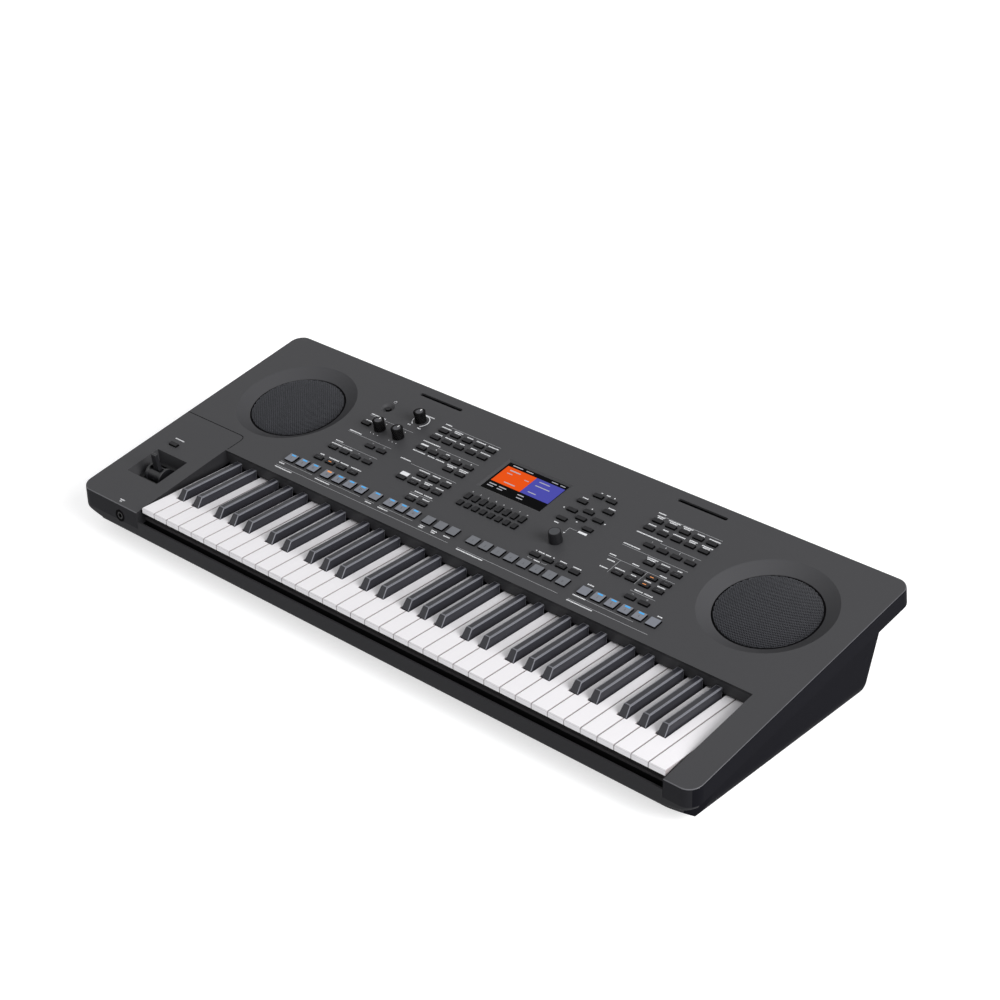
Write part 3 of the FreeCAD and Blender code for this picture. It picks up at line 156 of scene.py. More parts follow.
def smooth(piece, angle=35, flat=20):   # rounds shade smoothly, plane areas over flat square mm stay plane
    makeActive(piece)
    bpy.ops.object.shade_smooth_by_angle(angle=math.radians(angle))
    mesh = bmesh.new()
    mesh.from_mesh(piece.data)
    left = set(mesh.faces)
    while left:
        plane = [left.pop()]
        for face in plane:
            for edge in face.edges:
                for other in edge.link_faces:
                    if other in left and face.normal.angle(other.normal, 1) < limits["plane"]:
                        left.remove(other)
                        plane.append(other)
        if sum(face.calc_area() for face in plane) > flat * mm * mm:
            for face in plane:
                face.smooth = False
    mesh.to_mesh(piece.data)
    mesh.free()


def dress(piece, finishes):
    for index, name in enumerate(finishes):
        if index < len(piece.data.materials):
            piece.data.materials[index] = finish[name]
        else:
            piece.data.materials.append(finish[name])


def copyOf(piece, matrix):
    twin = piece.copy()
    twin.data = piece.data.copy()
    bpy.context.collection.objects.link(twin)
    twin.data.transform(matrix)
    return twin


def joined(pieces, finishes=()):
    startFresh()
    for piece in pieces:
        dress(piece, finishes)
        piece.select_set(True)
    bpy.context.view_layer.objects.active = pieces[0]
    if len(pieces) > 1:
        bpy.ops.object.join()
    return bpy.context.view_layer.objects.active


def shift(x, y, z=0):
    return Matrix.Translation((x * mm, y * mm, z * mm))


def spin(angle, axis="Z"):
    return Matrix.Rotation(math.radians(angle), 4, axis)


def deliver(piece, name, body, finishes, nodes=(), turned=True):
    if turned:
        piece.data.transform(panelTurn)
    piece.name = name
    piece.data.name = name
    dress(piece, finishes)
    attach(piece, body)
    if nodes:
        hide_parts(*nodes)


# finishes
plainLook = {"rough": 0.5, "wander": 0.06, "spread": 0.06, "grain": 1500, "patch": 14, "bump": 0.15,
             "specular": 0.5, "metal": 0}
grainDepth = 0.05
noiseDetail = {"Grain": 2, "Patch": 4}
mixPorts = {"low": 6, "high": 7, "result": 2}   # the colour sockets of a mix node


def tone(r, g, b):   # a screen's colour as a linear one
    def linear(c):
        c = c / 255
        return c / 12.92 if c <= 0.04045 else ((c + 0.055) / 1.055) ** 2.4
    return (linear(r), linear(g), linear(b), 1)


def makeGrainGroup():
    group = bpy.data.node_groups.new("mouldedGrain", "ShaderNodeTree")
    for label in noiseDetail:
        group.interface.new_socket(label + " Scale", in_out="INPUT", socket_type="NodeSocketFloat")
    for label in noiseDetail:
        group.interface.new_socket(label, in_out="OUTPUT", socket_type="NodeSocketFloat")
    way = group.nodes.new("NodeGroupInput")
    out = group.nodes.new("NodeGroupOutput")
    place = group.nodes.new("ShaderNodeTexCoord")
    for label, detail in noiseDetail.items():
        noise = group.nodes.new("ShaderNodeTexNoise")
        noise.inputs["Detail"].default_value = detail
        group.links.new(place.outputs["Object"], noise.inputs["Vector"])
        group.links.new(way.outputs[label + " Scale"], noise.inputs["Scale"])
        group.links.new(noise.outputs[0], out.inputs[label])
    return group


grainGroup = makeGrainGroup()


def makeFinish(name, own):
    look = {**plainLook, **own}
    material = bpy.data.materials.new(name)
    material.use_nodes = True
    nodes = material.node_tree.nodes
    link = material.node_tree.links.new
    shader = nodes["Principled BSDF"]
    grain = nodes.new("ShaderNodeGroup")
    grain.node_tree = grainGroup
    grain.inputs["Grain Scale"].default_value = look["grain"]
    grain.inputs["Patch Scale"].default_value = look["patch"]
    base = tone(*look["colour"])[:3]
    colours = nodes.new("ShaderNodeMix")
    colours.data_type = "RGBA"
    colours.inputs[mixPorts["low"]].default_value = [c * (1 - look["spread"]) for c in base] + [1]
    colours.inputs[mixPorts["high"]].default_value = [min(1, c * (1 + look["spread"])) for c in base] + [1]
    link(grain.outputs["Patch"], colours.inputs[0])
    link(colours.outputs[mixPorts["result"]], shader.inputs["Base Color"])
    gloss = nodes.new("ShaderNodeMapRange")
    gloss.inputs["To Min"].default_value = look["rough"] - look["wander"]
    gloss.inputs["To Max"].default_value = look["rough"] + look["wander"]
    link(grain.outputs["Patch"], gloss.inputs["Value"])
    link(gloss.outputs["Result"], shader.inputs["Roughness"])
    bump = nodes.new("ShaderNodeBump")
    bump.inputs["Strength"].default_value = look["bump"]
    bump.inputs["Distance"].default_value = grainDepth * mm
    link(grain.outputs["Grain"], bump.inputs["Height"])
    link(bump.outputs["Normal"], shader.inputs["Normal"])
    shader.inputs["Specular IOR Level"].default_value = look["specular"]
    shader.inputs["Metallic"].default_value = look["metal"]
    if "glow" in look:
        shader.inputs["Emission Color"].default_value = tone(*look["glow"])
        shader.inputs["Emission Strength"].default_value = look["power"]
    return material


looks = {
    "satinPanel": {"colour": (60, 60, 62), "bump": 0.2, "spread": 0.04, "specular": 0.15},
    "darkSkirt": {"colour": (31, 31, 34), "bump": 0.2, "spread": 0.04, "specular": 0.04},
    # painted light: a lighter copy of the panel finish on the speaker dishes' slopes
    "dishPaintedLight": {"colour": (70, 70, 72), "bump": 0.1, "spread": 0.04, "specular": 0},
    # painted highlight: a lighter, glossier copy of the panel on the rim fillets and rounded corners
    "paintedRimHighlight": {"colour": (82, 82, 86), "rough": 0.28, "wander": 0.04, "bump": 0.05, "spread": 0.04,
                  "specular": 0.4},
    # painted shade: a darker copy of the panel on the walls of the key well and joystick well
    "wellPaintedShade": {"colour": (36, 36, 38), "rough": 0.45, "spread": 0.05, "specular": 0.15},
    # painted shade: near black for the insides behind the front lip and the keybed, where shade falls
    "recessPaintedShade": {"colour": (9, 9, 10), "rough": 0.7, "spread": 0.05, "specular": 0.05},
    "frontLip": {"colour": (44, 44, 46), "bump": 0.2, "spread": 0.04, "specular": 0.05},
    # painted shade: a darker copy of the skirt on the case's left and right sides
    "paintedSideShade": {"colour": (19, 19, 23), "spread": 0.05, "specular": 0.01},
    "tubBlack": {"colour": (17, 17, 21), "bump": 0.3, "grain": 900, "specular": 0.01},
    "fasciaGloss": {"colour": (49, 49, 51), "rough": 0.45, "wander": 0.04, "bump": 0.05, "specular": 0.12},
    "ivoryKey": {"colour": (231, 229, 232), "rough": 0.3, "wander": 0.05, "spread": 0.015, "bump": 0.05,
                 "specular": 0.4},
    # painted shade: the naturals' edge bevels take a darker ivory than the tops
    "ivoryEdgeShade": {"colour": (196, 194, 197), "rough": 0.3, "wander": 0.05, "spread": 0.015, "bump": 0.05},
    # painted shade: a grey on the naturals' sides and rear bevels that stands in for the shade in the narrow gaps
    # between keys
    "ivoryGapShade": {"colour": (156, 150, 151), "rough": 0.4, "spread": 0.015},
    "ebonyKey": {"colour": (38, 38, 43), "rough": 0.3, "wander": 0.05, "bump": 0.08, "specular": 0.25},
    # painted highlight: the sharps' edge bevels take a light grey that stands in for the glints along their edges
    "ebonyEdgeHighlight": {"colour": (104, 105, 111), "rough": 0.3, "wander": 0.05, "bump": 0.05, "specular": 0.3},
    "capTop": {"colour": (28, 28, 30), "spread": 0.05, "specular": 0.15},
    # black for the pads' bodies; on the buttons and the power button the black sides are painted shade under
    # lighter tops
    "capBodyAndSideShade": {"colour": (5, 5, 6), "spread": 0.05, "specular": 0.05},
    "padTop": {"colour": (116, 119, 127), "rough": 0.45, "spread": 0.05, "patch": 60, "specular": 0.2},
    "padDull": {"colour": (104, 106, 111), "rough": 0.45, "spread": 0.05, "patch": 60, "specular": 0.2},
    "padMark": {"colour": (60, 62, 66), "spread": 0.05},
    "ledCyan": {"colour": (40, 130, 190), "rough": 0.35, "glow": (60, 165, 220), "power": 0.35, "patch": 300},
    "ledOrange": {"colour": (190, 120, 60), "rough": 0.35, "glow": (235, 140, 60), "power": 0.4,
                  "patch": 300},
    "ledDark": {"colour": (62, 63, 66), "rough": 0.35, "patch": 300, "specular": 0.2},
    "knobSide": {"colour": (10, 10, 11), "rough": 0.45, "specular": 0.12},
    "knobTop": {"colour": (62, 62, 66), "rough": 0.4, "spread": 0.05, "patch": 120, "specular": 0.25},
    "dialSide": {"colour": (24, 24, 26), "rough": 0.45, "specular": 0.12},
    "dialTop": {"colour": (62, 63, 66), "rough": 0.4, "spread": 0.05, "patch": 120, "specular": 0.2},
    "tickWhite": {"colour": (225, 225, 225), "patch": 200},
    "stickBlack": {"colour": (22, 22, 25), "rough": 0.42, "specular": 0.35},
    "grilleBlack": {"colour": (58, 59, 63), "spread": 0.08, "patch": 90, "specular": 0.25},
    "grilleCloth": {"colour": (34, 34, 37), "rough": 0.85, "grain": 700, "bump": 0.4, "specular": 0.1},
    "printGrey": {"colour": (222, 223, 226), "rough": 0.6, "patch": 120, "specular": 0.2},
    "printFaint": {"colour": (158, 159, 162), "rough": 0.6, "patch": 120, "specular": 0.1},
    # black for the jack's ring; as painted shade it also fills the panel groove and the gap round each grille
    "blackTrimAndShade": {"colour": (8, 8, 9), "rough": 0.8, "specular": 0.02},
    "lensBlack": {"colour": (3, 3, 4), "rough": 0.14, "wander": 0.03, "bump": 0.02, "specular": 0.02},
    "screenOrange": {"colour": (90, 26, 3), "rough": 0.2, "glow": (240, 84, 12), "power": 0.8,
                     "patch": 80, "specular": 0.03},
    "screenBlue": {"colour": (32, 32, 80), "rough": 0.2, "glow": (74, 76, 172), "power": 0.75,
                   "patch": 80, "specular": 0.03},
    "screenWhite": {"colour": (110, 110, 115), "rough": 0.2, "glow": (176, 176, 182), "power": 0.6,
                    "patch": 80, "specular": 0.1},
    "boardGreen": {"colour": (34, 92, 58), "rough": 0.4, "spread": 0.12, "patch": 120},
    "switchGrey": {"colour": (120, 120, 124), "spread": 0.08},
    "steelBright": {"colour": (178, 178, 182), "rough": 0.3, "metal": 1, "bump": 0.1},
    "feltDark": {"colour": (40, 38, 40), "rough": 0.95, "grain": 2600, "bump": 0.6, "spread": 0.15},
    "rubberBlack": {"colour": (24, 24, 25), "rough": 0.8, "grain": 900, "bump": 0.3, "specular": 0.3},
    "rubberGrey": {"colour": (96, 96, 100), "rough": 0.8, "grain": 900, "bump": 0.2},
    "frameGrey": {"colour": (66, 67, 70), "spread": 0.08},
    "driverPaper": {"colour": (36, 36, 38), "rough": 0.85, "grain": 1100, "bump": 0.4, "spread": 0.1},
    "socketBlack": {"colour": (13, 13, 15), "rough": 0.45, "specular": 0.2},
}
finish = {name: makeFinish(name, look) for name, look in looks.items()}
print("finishes made:", len(finish))


# caps of buttons and pads
def rowOf(column, pitch, count, level, first=0):
    return [(column + k * pitch, level) for k in range(first, first + count)]


rows = {"pad": 190.8, "lower": 211.4, "middle": 237.8, "function": 254.9, "transpose": 264.5, "part": 252,
        "effect": 271.9, "song": 297.9, "songLower": 281.4, "select": 323.9, "selectUpper": 340.4, "soft": 239.3,
        "softUpper": 254.6, "cursor": 302.1, "knob": 299.6, "hold": 128}
columns = {"intro": -298.2, "main": -232.6, "break": -146, "ending": -120.5, "start": -54.2, "registration": 19.6,
           "multi": 195.3, "tempo": -268.8, "style": -166.9, "soft": -46.05, "cursor": 103.3, "bank": 100.9,
           "voice": 185.4, "hold": -459.4}
pitches = {"button": 20.43, "pad": 20.37, "soft": 12.77, "cursor": 20.45, "cursorStep": 19.6}


def padRow(column, count):
    return rowOf(columns[column], pitches["pad"], count, rows["pad"])


def capRow(column, level, count, first=0):
    return rowOf(columns[column], pitches["button"], count, rows[level], first)


def cursorPlace(across, up):
    return (columns["cursor"] + across * pitches["cursor"], rows["cursor"] + up * pitches["cursorStep"])


cursorSpots = [(columns["cursor"] - pitches["cursor"] / 2, rows["selectUpper"]),
               (columns["cursor"] + pitches["cursor"] / 2, rows["selectUpper"]),
               cursorPlace(-1, 1), cursorPlace(1, 1), cursorPlace(0, 0.37), cursorPlace(-1, 0), cursorPlace(1, 0),
               cursorPlace(0, -0.38), cursorPlace(-1, -1), cursorPlace(1, -1)]

capShapes = {
    "button": {"width": 14.1, "length": 6.0, "rise": 2.3, "corner": 0.7, "lamp": (5.4, 1.0, 0)},
    "soft": {"width": 7.2, "length": 8.7, "rise": 2.2, "corner": 0.7},
    "softUpper": {"width": 7.2, "length": 10.9, "rise": 2.2, "corner": 0.7},
    "pad": {"width": 14.5, "length": 13.5, "rise": 2.3, "corner": 0.8, "lamp": (7.6, 2.4, 4.5)},
}
capDetail = {"sink": 4.2, "edge": 0.3, "topFrom": 0.6}   # under the panel, soft edge, lean of the top

capGroups = {
    "intro_pads": {"pad": padRow("intro", 3)},
    "main_pads": {"pad": padRow("main", 4)},
    "ending_pads": {"pad": padRow("break", 1) + padRow("ending", 3)},
    "start_pads": {"pad": padRow("start", 3)},
    "registration_pads": {"pad": padRow("registration", 8)},
    "multi_pads": {"pad": padRow("multi", 6)},
    "assign_button": {"button": capRow("tempo", "knob", 1)},
    "tempo_buttons": {"button": capRow("tempo", "transpose", 2, 2) + capRow("tempo", "middle", 4)},
    "style_option_buttons": {"button": capRow("tempo", "lower", 4)},
    "style_buttons": {"button": capRow("style", "select", 5) + capRow("style", "selectUpper", 5)},
    "song_buttons": {"button": capRow("style", "song", 5) + capRow("style", "songLower", 2, 3)},
    "function_buttons": {"button": capRow("style", "function", 3, 2) + capRow("style", "middle", 4, 1)
                         + capRow("style", "lower", 2, 3)},
    "display_buttons": {"soft": rowOf(columns["soft"], pitches["soft"], 8, rows["soft"]),
                        "softUpper": rowOf(columns["soft"], pitches["soft"], 8, rows["softUpper"])},
    "cursor_buttons": {"button": cursorSpots},
    "bank_buttons": {"button": capRow("bank", "lower", 4)},
    "voice_buttons": {"button": capRow("voice", "select", 5) + capRow("voice", "selectUpper", 5)},
    "one_touch_buttons": {"button": capRow("voice", "song", 4, 1)},
    "effect_buttons": {"button": capRow("voice", "effect", 3, 2)},
    "part_buttons": {"button": capRow("voice", "part", 3, 2) + capRow("voice", "middle", 4, 1)
                     + capRow("voice", "lower", 2, 3)},
    "hold_button": {"button": [(columns["hold"], rows["hold"])]},
}

capLamps = {   # lights in the caps, and which caps of the group have them
    "intro_pads": {"ledCyan": (0, 1, 2)},
    "main_pads": {"ledOrange": (0,), "ledCyan": (1, 2, 3)},
    "ending_pads": {"ledCyan": (0, 1, 2, 3)},
    "multi_pads": {"ledCyan": (1, 2, 3, 4)},
    "style_option_buttons": {"ledDark": (0, 2, 3), "ledOrange": (1,)},
    "tempo_buttons": {"ledDark": (2,)},
    "song_buttons": {"ledDark": (0, 2)},
    "function_buttons": {"ledDark": (0, 4, 5, 6, 7, 8)},
    "effect_buttons": {"ledDark": (0, 1, 2)},
    "part_buttons": {"ledDark": (0, 2, 3, 4, 6), "ledOrange": (1, 5)},
    "bank_buttons": {"ledDark": (2,)},
}
capWords = {
    "registration_pads": "12345678",
    "multi_pads": ["", *"1234", ""],
    "intro_pads": ["I", "II", "III"],
    "ending_pads": ["", "I", "II", "III"],
    "main_pads": "ABCD",
}
dullPads = ("registration_pads", "start_pads")   # pads whose caps are never lit from below
capLamp = {"thick": 0.4, "centre": -0.12, "corner": 0.3}
capWord = {"size": 4.6, "down": 1.2, "lift": 0.02, "thick": 0.03}


def makeCap(shape):
    cap = addBlock((shape["width"], shape["length"], shape["rise"] + capDetail["sink"]),
                   (0, 0, (shape["rise"] - capDetail["sink"]) / 2))
    roundEdges(cap, upright, shape["corner"])
    roundEdges(cap, lambda edge: atHeight(edge, shape["rise"]), capDetail["edge"])
    # tops take the lighter finish; the black left on a button's sides is painted shade
    paint(cap, 1, lambda face: face.normal.z > capDetail["topFrom"])
    smooth(cap)
    return cap


def makeLamp(shape):
    width, length, up = shape["lamp"]
    lamp = addBlock((width, length, capLamp["thick"]), (0, up, shape["rise"] + capLamp["centre"]))
    roundEdges(lamp, upright, capLamp["corner"], 1)
    return lamp


def makeWord(word, size):
    startFresh()
    bpy.ops.object.text_add(location=(0, 0, 0))
    text = bpy.context.object
    text.data.body = word
    text.data.align_x = "CENTER"
    text.data.align_y = "CENTER"
    text.data.size = size * mm
    text.data.extrude = capWord["thick"] * mm
    bpy.ops.object.convert(target="MESH")
    return bpy.context.object


capModels = {kind: makeCap(shape) for kind, shape in capShapes.items()}
lampModels = {kind: makeLamp(shape) for kind, shape in capShapes.items() if "lamp" in shape}


def buildCaps():
    for node, sets in capGroups.items():
        isPad = node.endswith("_pads")
        top = "padDull" if node in dullPads else "padTop" if isPad else "capTop"
        used = ["capBodyAndSideShade", top, "ledCyan", "ledOrange", "ledDark", "padMark"]
        pieces = []
        spots = [(kind, x, v) for kind, places in sets.items() for x, v in places]
        for count, (kind, x, v) in enumerate(spots):
            pieces.append(copyOf(capModels[kind], shift(x, v)))
            for light, lit in capLamps.get(node, {}).items():
                if count in lit:
                    pieces.append(copyOf(lampModels[kind], shift(x, v)))
                    paint(pieces[-1], used.index(light))
            word = capWords[node][count] if node in capWords else ""
            if word:
                mark = makeWord(word, capWord["size"])
                mark.data.transform(shift(x, v - capWord["down"], capShapes[kind]["rise"] + capWord["lift"]))
                paint(mark, used.index("padMark"))
                pieces.append(mark)
        deliver(joined(pieces, used), node.replace("_", "-") + "-caps", node,
                used, [node])
    for model in list(capModels.values()) + list(lampModels.values()):
        bpy.data.objects.remove(model)


buildCaps()
print("caps built")


# knobs, dial and power button
plainKnob = {"radius": 7.9, "top": 5.9, "height": 15.6, "tick": True}
knobs = {
    "volume_knob": {"place": (-209.4, 342), **plainKnob},
    "left_live_knob": {"place": (-243.5, 299.6), **plainKnob},
    "right_live_knob": {"place": (-210.0, 299.6), **plainKnob},
    "data_dial": {"place": (104.7, 245.4), "radius": 8.8, "top": 7.9, "height": 15.5, "tick": False},
}
knobDetail = {"lift": 0.8, "sides": 60, "rib": 0.12, "ribDepth": 0.35, "steep": 0.5, "edge": 0.6, "rim": 0.5,
              "hollow": 0.15}
knobTick = {"size": (1.1, 3.6, 0.5), "setback": 2.2, "sink": 0.05, "corner": 0.3}


def onGroove(face):   # every other side of a knob
    middle = face.calc_center_median()
    side = math.atan2(middle.y, middle.x) / math.tau * knobDetail["sides"]
    return abs(face.normal.z) < knobDetail["steep"] and round(side - 0.5) % 2 == 0


def makeKnob(shape):
    tall = shape["height"] - knobDetail["lift"]
    knob = addRound(shape["radius"], tall, (0, 0, knobDetail["lift"] + tall / 2), knobDetail["sides"])
    pick(knob, "FACE", facesUp)
    ratio = shape["top"] / shape["radius"]
    bpy.ops.transform.resize(value=(ratio, ratio, 1), center_override=(0, 0, shape["height"] * mm))
    done()
    if shape["tick"]:
        pick(knob, "FACE", onGroove)
        bpy.ops.mesh.inset(thickness=knobDetail["rib"] * mm, depth=-knobDetail["ribDepth"] * mm,
                           use_individual=True)
        done()
    roundEdges(knob, lambda edge: atHeight(edge, shape["height"]), knobDetail["edge"], 3)
    insetFaces(knob, flatTop, knobDetail["rim"], -knobDetail["hollow"])
    paint(knob, 1, flatTop)
    smooth(knob)
    return knob


def buildKnobs():
    for node, shape in knobs.items():
        pieces = [makeKnob(shape)]
        if shape["tick"]:
            tick = addBlock(knobTick["size"],
                            (0, shape["top"] - knobTick["setback"], shape["height"] - knobTick["sink"]))
            roundEdges(tick, upright, knobTick["corner"], 1)
            paint(tick, 2)
            pieces.append(tick)
        used = ["knobSide", "knobTop", "tickWhite"] if shape["tick"] else ["dialSide", "dialTop", "tickWhite"]
        knob = joined(pieces, used)
        knob.data.transform(shift(*shape["place"]))
        deliver(knob, node.replace("_", "-") + "-cap", node, used, [node])


buildKnobs()

power = {"place": (-268.6, 341.4), "radius": 3.9, "top": -1.0, "low": -6.8, "sides": 40, "edge": 0.5, "rim": 0.5,
         "hollow": 0.2}


def buildPower():
    tall = power["top"] - power["low"]
    button = addRound(power["radius"], tall, (0, 0, power["top"] - tall / 2), power["sides"])
    roundEdges(button, lambda edge: atHeight(edge, power["top"]), power["edge"], 3)
    insetFaces(button, flatTop, power["rim"], -power["hollow"])
    # the top takes the lighter finish; the black left on the sides is painted shade
    paint(button, 1, facesUp)
    smooth(button)
    button.data.transform(shift(*power["place"]))
    deliver(button, "power-button-cap", "power_button", ["capBodyAndSideShade", "capTop"], ["power_button"])


buildPower()
print("knobs and power button built")


# keys: the CAD's shapes with soft edges, and the sharps' tops fall to the rear
def copyNode(node):
    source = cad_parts[node]
    piece = source.copy()
    piece.data = source.data.copy()
    bpy.context.collection.objects.link(piece)
    piece.parent = None
    piece.matrix_world = Matrix.Identity(4)
    pickAll(piece)
    bpy.ops.mesh.remove_doubles(threshold=limits["weld"] * mm)
    done()
    bpy.ops.mesh.customdata_custom_splitnormals_clear()
    return piece


def flatten(piece):
    pickAll(piece)
    bpy.ops.mesh.dissolve_limited(angle_limit=math.radians(limits["dissolve"]))
    done()


keyShapes = {   # heights and places in mm: edges that reach over above and stay over foot are softened
    "natural": {"above": 68.2, "foot": 68.2, "edge": 0.45, "front": -192, "side": 0.6, "slot": "white_key",
                "finishes": ("ivoryKey", "ivoryEdgeShade", "ivoryGapShade")},
    "sharp": {"above": 71, "foot": 68.2, "edge": 0.75, "top": 75, "fall": 3.4, "frontFall": 0.68, "lean": 3,
              "slot": "black_key", "finishes": ("ebonyKey", "ebonyEdgeHighlight")},
}
keyCrease = 20
keyShade = (30, 8)   # crease in degrees and plane area in square mm for smooth
keyInside = ("key_felt", "key_pivot_rod", "key_contact_board")


def keyEdge(edge, shape):
    heights = [v.co.z / mm for v in edge.verts]
    return max(heights) > shape["above"] and min(heights) > shape["foot"] and creased(edge, keyCrease)


def slopeSharp(key, shape):
    middle = sum(v.co.y for v in key.data.vertices) / len(key.data.vertices)
    for isRear, move in ((True, (0, 0, -shape["fall"])), (False, (0, shape["lean"], -shape["frontFall"]))):
        pick(key, "VERT", lambda v: v.co.z > shape["top"] * mm and (v.co.y > middle) == isRear)
        bpy.ops.transform.translate(value=[c * mm for c in move])
        done()


def buildKeys():
    for node in [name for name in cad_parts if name.startswith("key_") and name not in keyInside]:
        kind = "sharp" if node.endswith("_sharp") else "natural"
        shape = keyShapes[kind]
        key = copyNode(node)
        flatten(key)
        if kind == "sharp":
            slopeSharp(key, shape)
        dress(key, shape["finishes"])
        # the bevels take the second finish: painted shade on naturals, painted highlight on sharps
        roundEdges(key, lambda edge: keyEdge(edge, shape), shape["edge"], material=1)
        # painted shade: the sides of naturals and the bevels behind their front edge take a grey that stands for
        # the shade in the gaps
        if kind == "natural":   # the narrow gaps between naturals look dark, and their front edges stay light
            paint(key, 2, lambda face: abs(face.normal.x) > shape["side"] or (
                face.material_index == 1 and face.center.y > shape["front"] * mm))
        smooth(key, *keyShade)
        deliver(key, node.replace("_", "-") + "-keys", node, shape["finishes"], [node],
                turned=False)


buildKeys()
print("keys softened")


# upper and lower case, and the joystick
fascia = {"left": -389.6, "right": 461.6, "setback": 157.3, "low": -19.5, "high": -3.4, "thick": 0.3, "edge": 0.15}
stickWell = {"left": -472, "right": -413, "low": 55.5, "high": 110.5}
stick = {"pin": -442.5, "clear": 3.4, "edge": 0.7, "crease": 40}   # the cross pin's edges stay as they are
grille = {"places": ((-387, 286.5), (387, 286.5)), "radius": 65, "dish": 82.6, "low": -10.6, "lift": 1.2,
          "crown": 4.2, "swell": 2.4, "pitch": 2.6, "strand": 1.0, "gap": 2.4, "spare": 1.05, "snap": 0.6}
caseTop = ["upper_case", "left_end_block", "right_end_block"]
caseRim = {"side": 497.5, "front": 3, "rear": 402, "corner": 465, "cornerFront": 35, "cornerRear": 370}
caseFacing = {"panel": 0.97, "wall": 0.5, "skirt": 0.4, "side": 0.7}   # cosines to the panel, the last one to X
caseWeld = {"plane": 0.01, "join": 0.004, "margin": 1}
caseShade = (22, 400)   # as keyShade
tubZones = {"lipBack": -150, "ledge": 49.5, "front": -190, "side": 440, "rear": -100, "inward": 0.5,
            "forward": -0.9}


def nearPin(edge):
    return all(abs(v.co.x / mm - stick["pin"]) < stick["clear"] for v in edge.verts)


def buildUpperCase():
    normal = panelTurn.to_3x3() @ Vector((0, 0, 1))
    back = panelTurn.inverted()
    top = joined([copyNode(node) for node in caseTop])
    pick(top, "FACE", lambda face: all(abs((back @ v.co).y / mm - fascia["setback"]) < caseWeld["plane"]
                                       for v in face.verts)
         and not fascia["left"] < face.calc_center_median().x / mm < fascia["right"])
    bpy.ops.mesh.delete(type="FACE")
    bpy.ops.mesh.select_all(action="SELECT")
    bpy.ops.mesh.remove_doubles(threshold=caseWeld["join"] * mm)
    done()
    smooth(top, *caseShade)

    def leans(face, limit):
        return face.normal.dot(normal) < caseFacing[limit]

    def onRim(face):
        spot = (back @ face.center) / mm
        across = abs(spot.x)
        inCorner = across > caseRim["corner"] and not caseRim["cornerFront"] < spot.y < caseRim["cornerRear"]
        return across > caseRim["side"] or spot.y < caseRim["front"] or spot.y > caseRim["rear"] or inCorner

    # painted shade: walls in the key well and faces in the joystick well take the darker well finish
    def inWell(face):
        spot = (back @ face.center) / mm
        margin = caseWeld["margin"]
        byKeys = (fascia["left"] - margin < spot.x < fascia["right"] + margin
                  and spot.y < fascia["setback"] + margin)
        byStick = (stickWell["left"] < spot.x < stickWell["right"]
                   and stickWell["low"] < spot.y < stickWell["high"])
        return (byKeys and leans(face, "wall")) or (byStick and leans(face, "panel"))

    # painted light: the dish slopes get the lighter dish finish
    def inDish(face):
        spot = (back @ face.center) / mm
        return leans(face, "panel") and any(
            grille["radius"] < math.hypot(spot.x - x, spot.y - v) < grille["dish"] for x, v in grille["places"])

    used = ["satinPanel", "darkSkirt", "paintedRimHighlight", "wellPaintedShade", "dishPaintedLight", "paintedSideShade"]
    zones = {
        # painted highlight: rim faces tilted from the panel take the lighter edge finish
        "paintedRimHighlight": lambda face: onRim(face) and leans(face, "panel"),
        "darkSkirt": lambda face: onRim(face) and leans(face, "skirt"),
        # painted shade: rim faces turned to the sides take the darker side finish
        "paintedSideShade": lambda face: onRim(face) and abs(face.normal.x) > caseFacing["side"],
        "wellPaintedShade": inWell, "dishPaintedLight": inDish,
    }
    paint(top, 0)
    for name, test in zones.items():
        paint(top, used.index(name), test)
    deliver(top, "upper-case-shell", "case", used, caseTop, turned=False)


def buildLowerCase():
    tub = copyNode("lower_case")
    smooth(tub, *caseShade)

    def behindLip(face):
        spot = face.center / mm
        return (face.normal.y > tubZones["forward"] and spot.y > tubZones["front"]
                and (abs(spot.x) > tubZones["side"] or spot.y > tubZones["rear"]))

    def inTub(face):
        # painted shade: inside faces behind the lip take the near-black finish
        spot = face.center / mm
        return ((face.normal.y > tubZones["inward"] and spot.y < tubZones["lipBack"])
                or (face.normal.z > tubZones["inward"] and spot.z < tubZones["ledge"]))

    paint(tub, 0)
    paint(tub, 1, behindLip)
    paint(tub, 2, inTub)
    deliver(tub, "lower-case-shell", "case", ["frontLip", "tubBlack", "recessPaintedShade"], ["lower_case"],
            turned=False)


def buildStick():
    for node in ("joystick_drum", "joystick_lever"):
        piece = copyNode(node)
        flatten(piece)
        roundEdges(piece, lambda edge: creased(edge, stick["crease"]) and not nearPin(edge), stick["edge"], 3)
        smooth(piece, stick["crease"])
        deliver(piece, node.replace("_", "-") + "-body", node, ["stickBlack"], [node], turned=False)


buildUpperCase()
buildLowerCase()
buildStick()
print("cases and joystick built")


# speaker grilles: a domed lattice over dark cloth
cloth = {"thick": 0.8, "sides": 96, "rings": 6, "under": 0.5, "border": 1.3, "crease": 40}


def domeHeight(x, y):
    spread = min(1, math.hypot(x, y) / (grille["radius"] * mm))
    return (grille["low"] + grille["lift"] + grille["crown"] * (1 - spread ** grille["swell"])) * mm


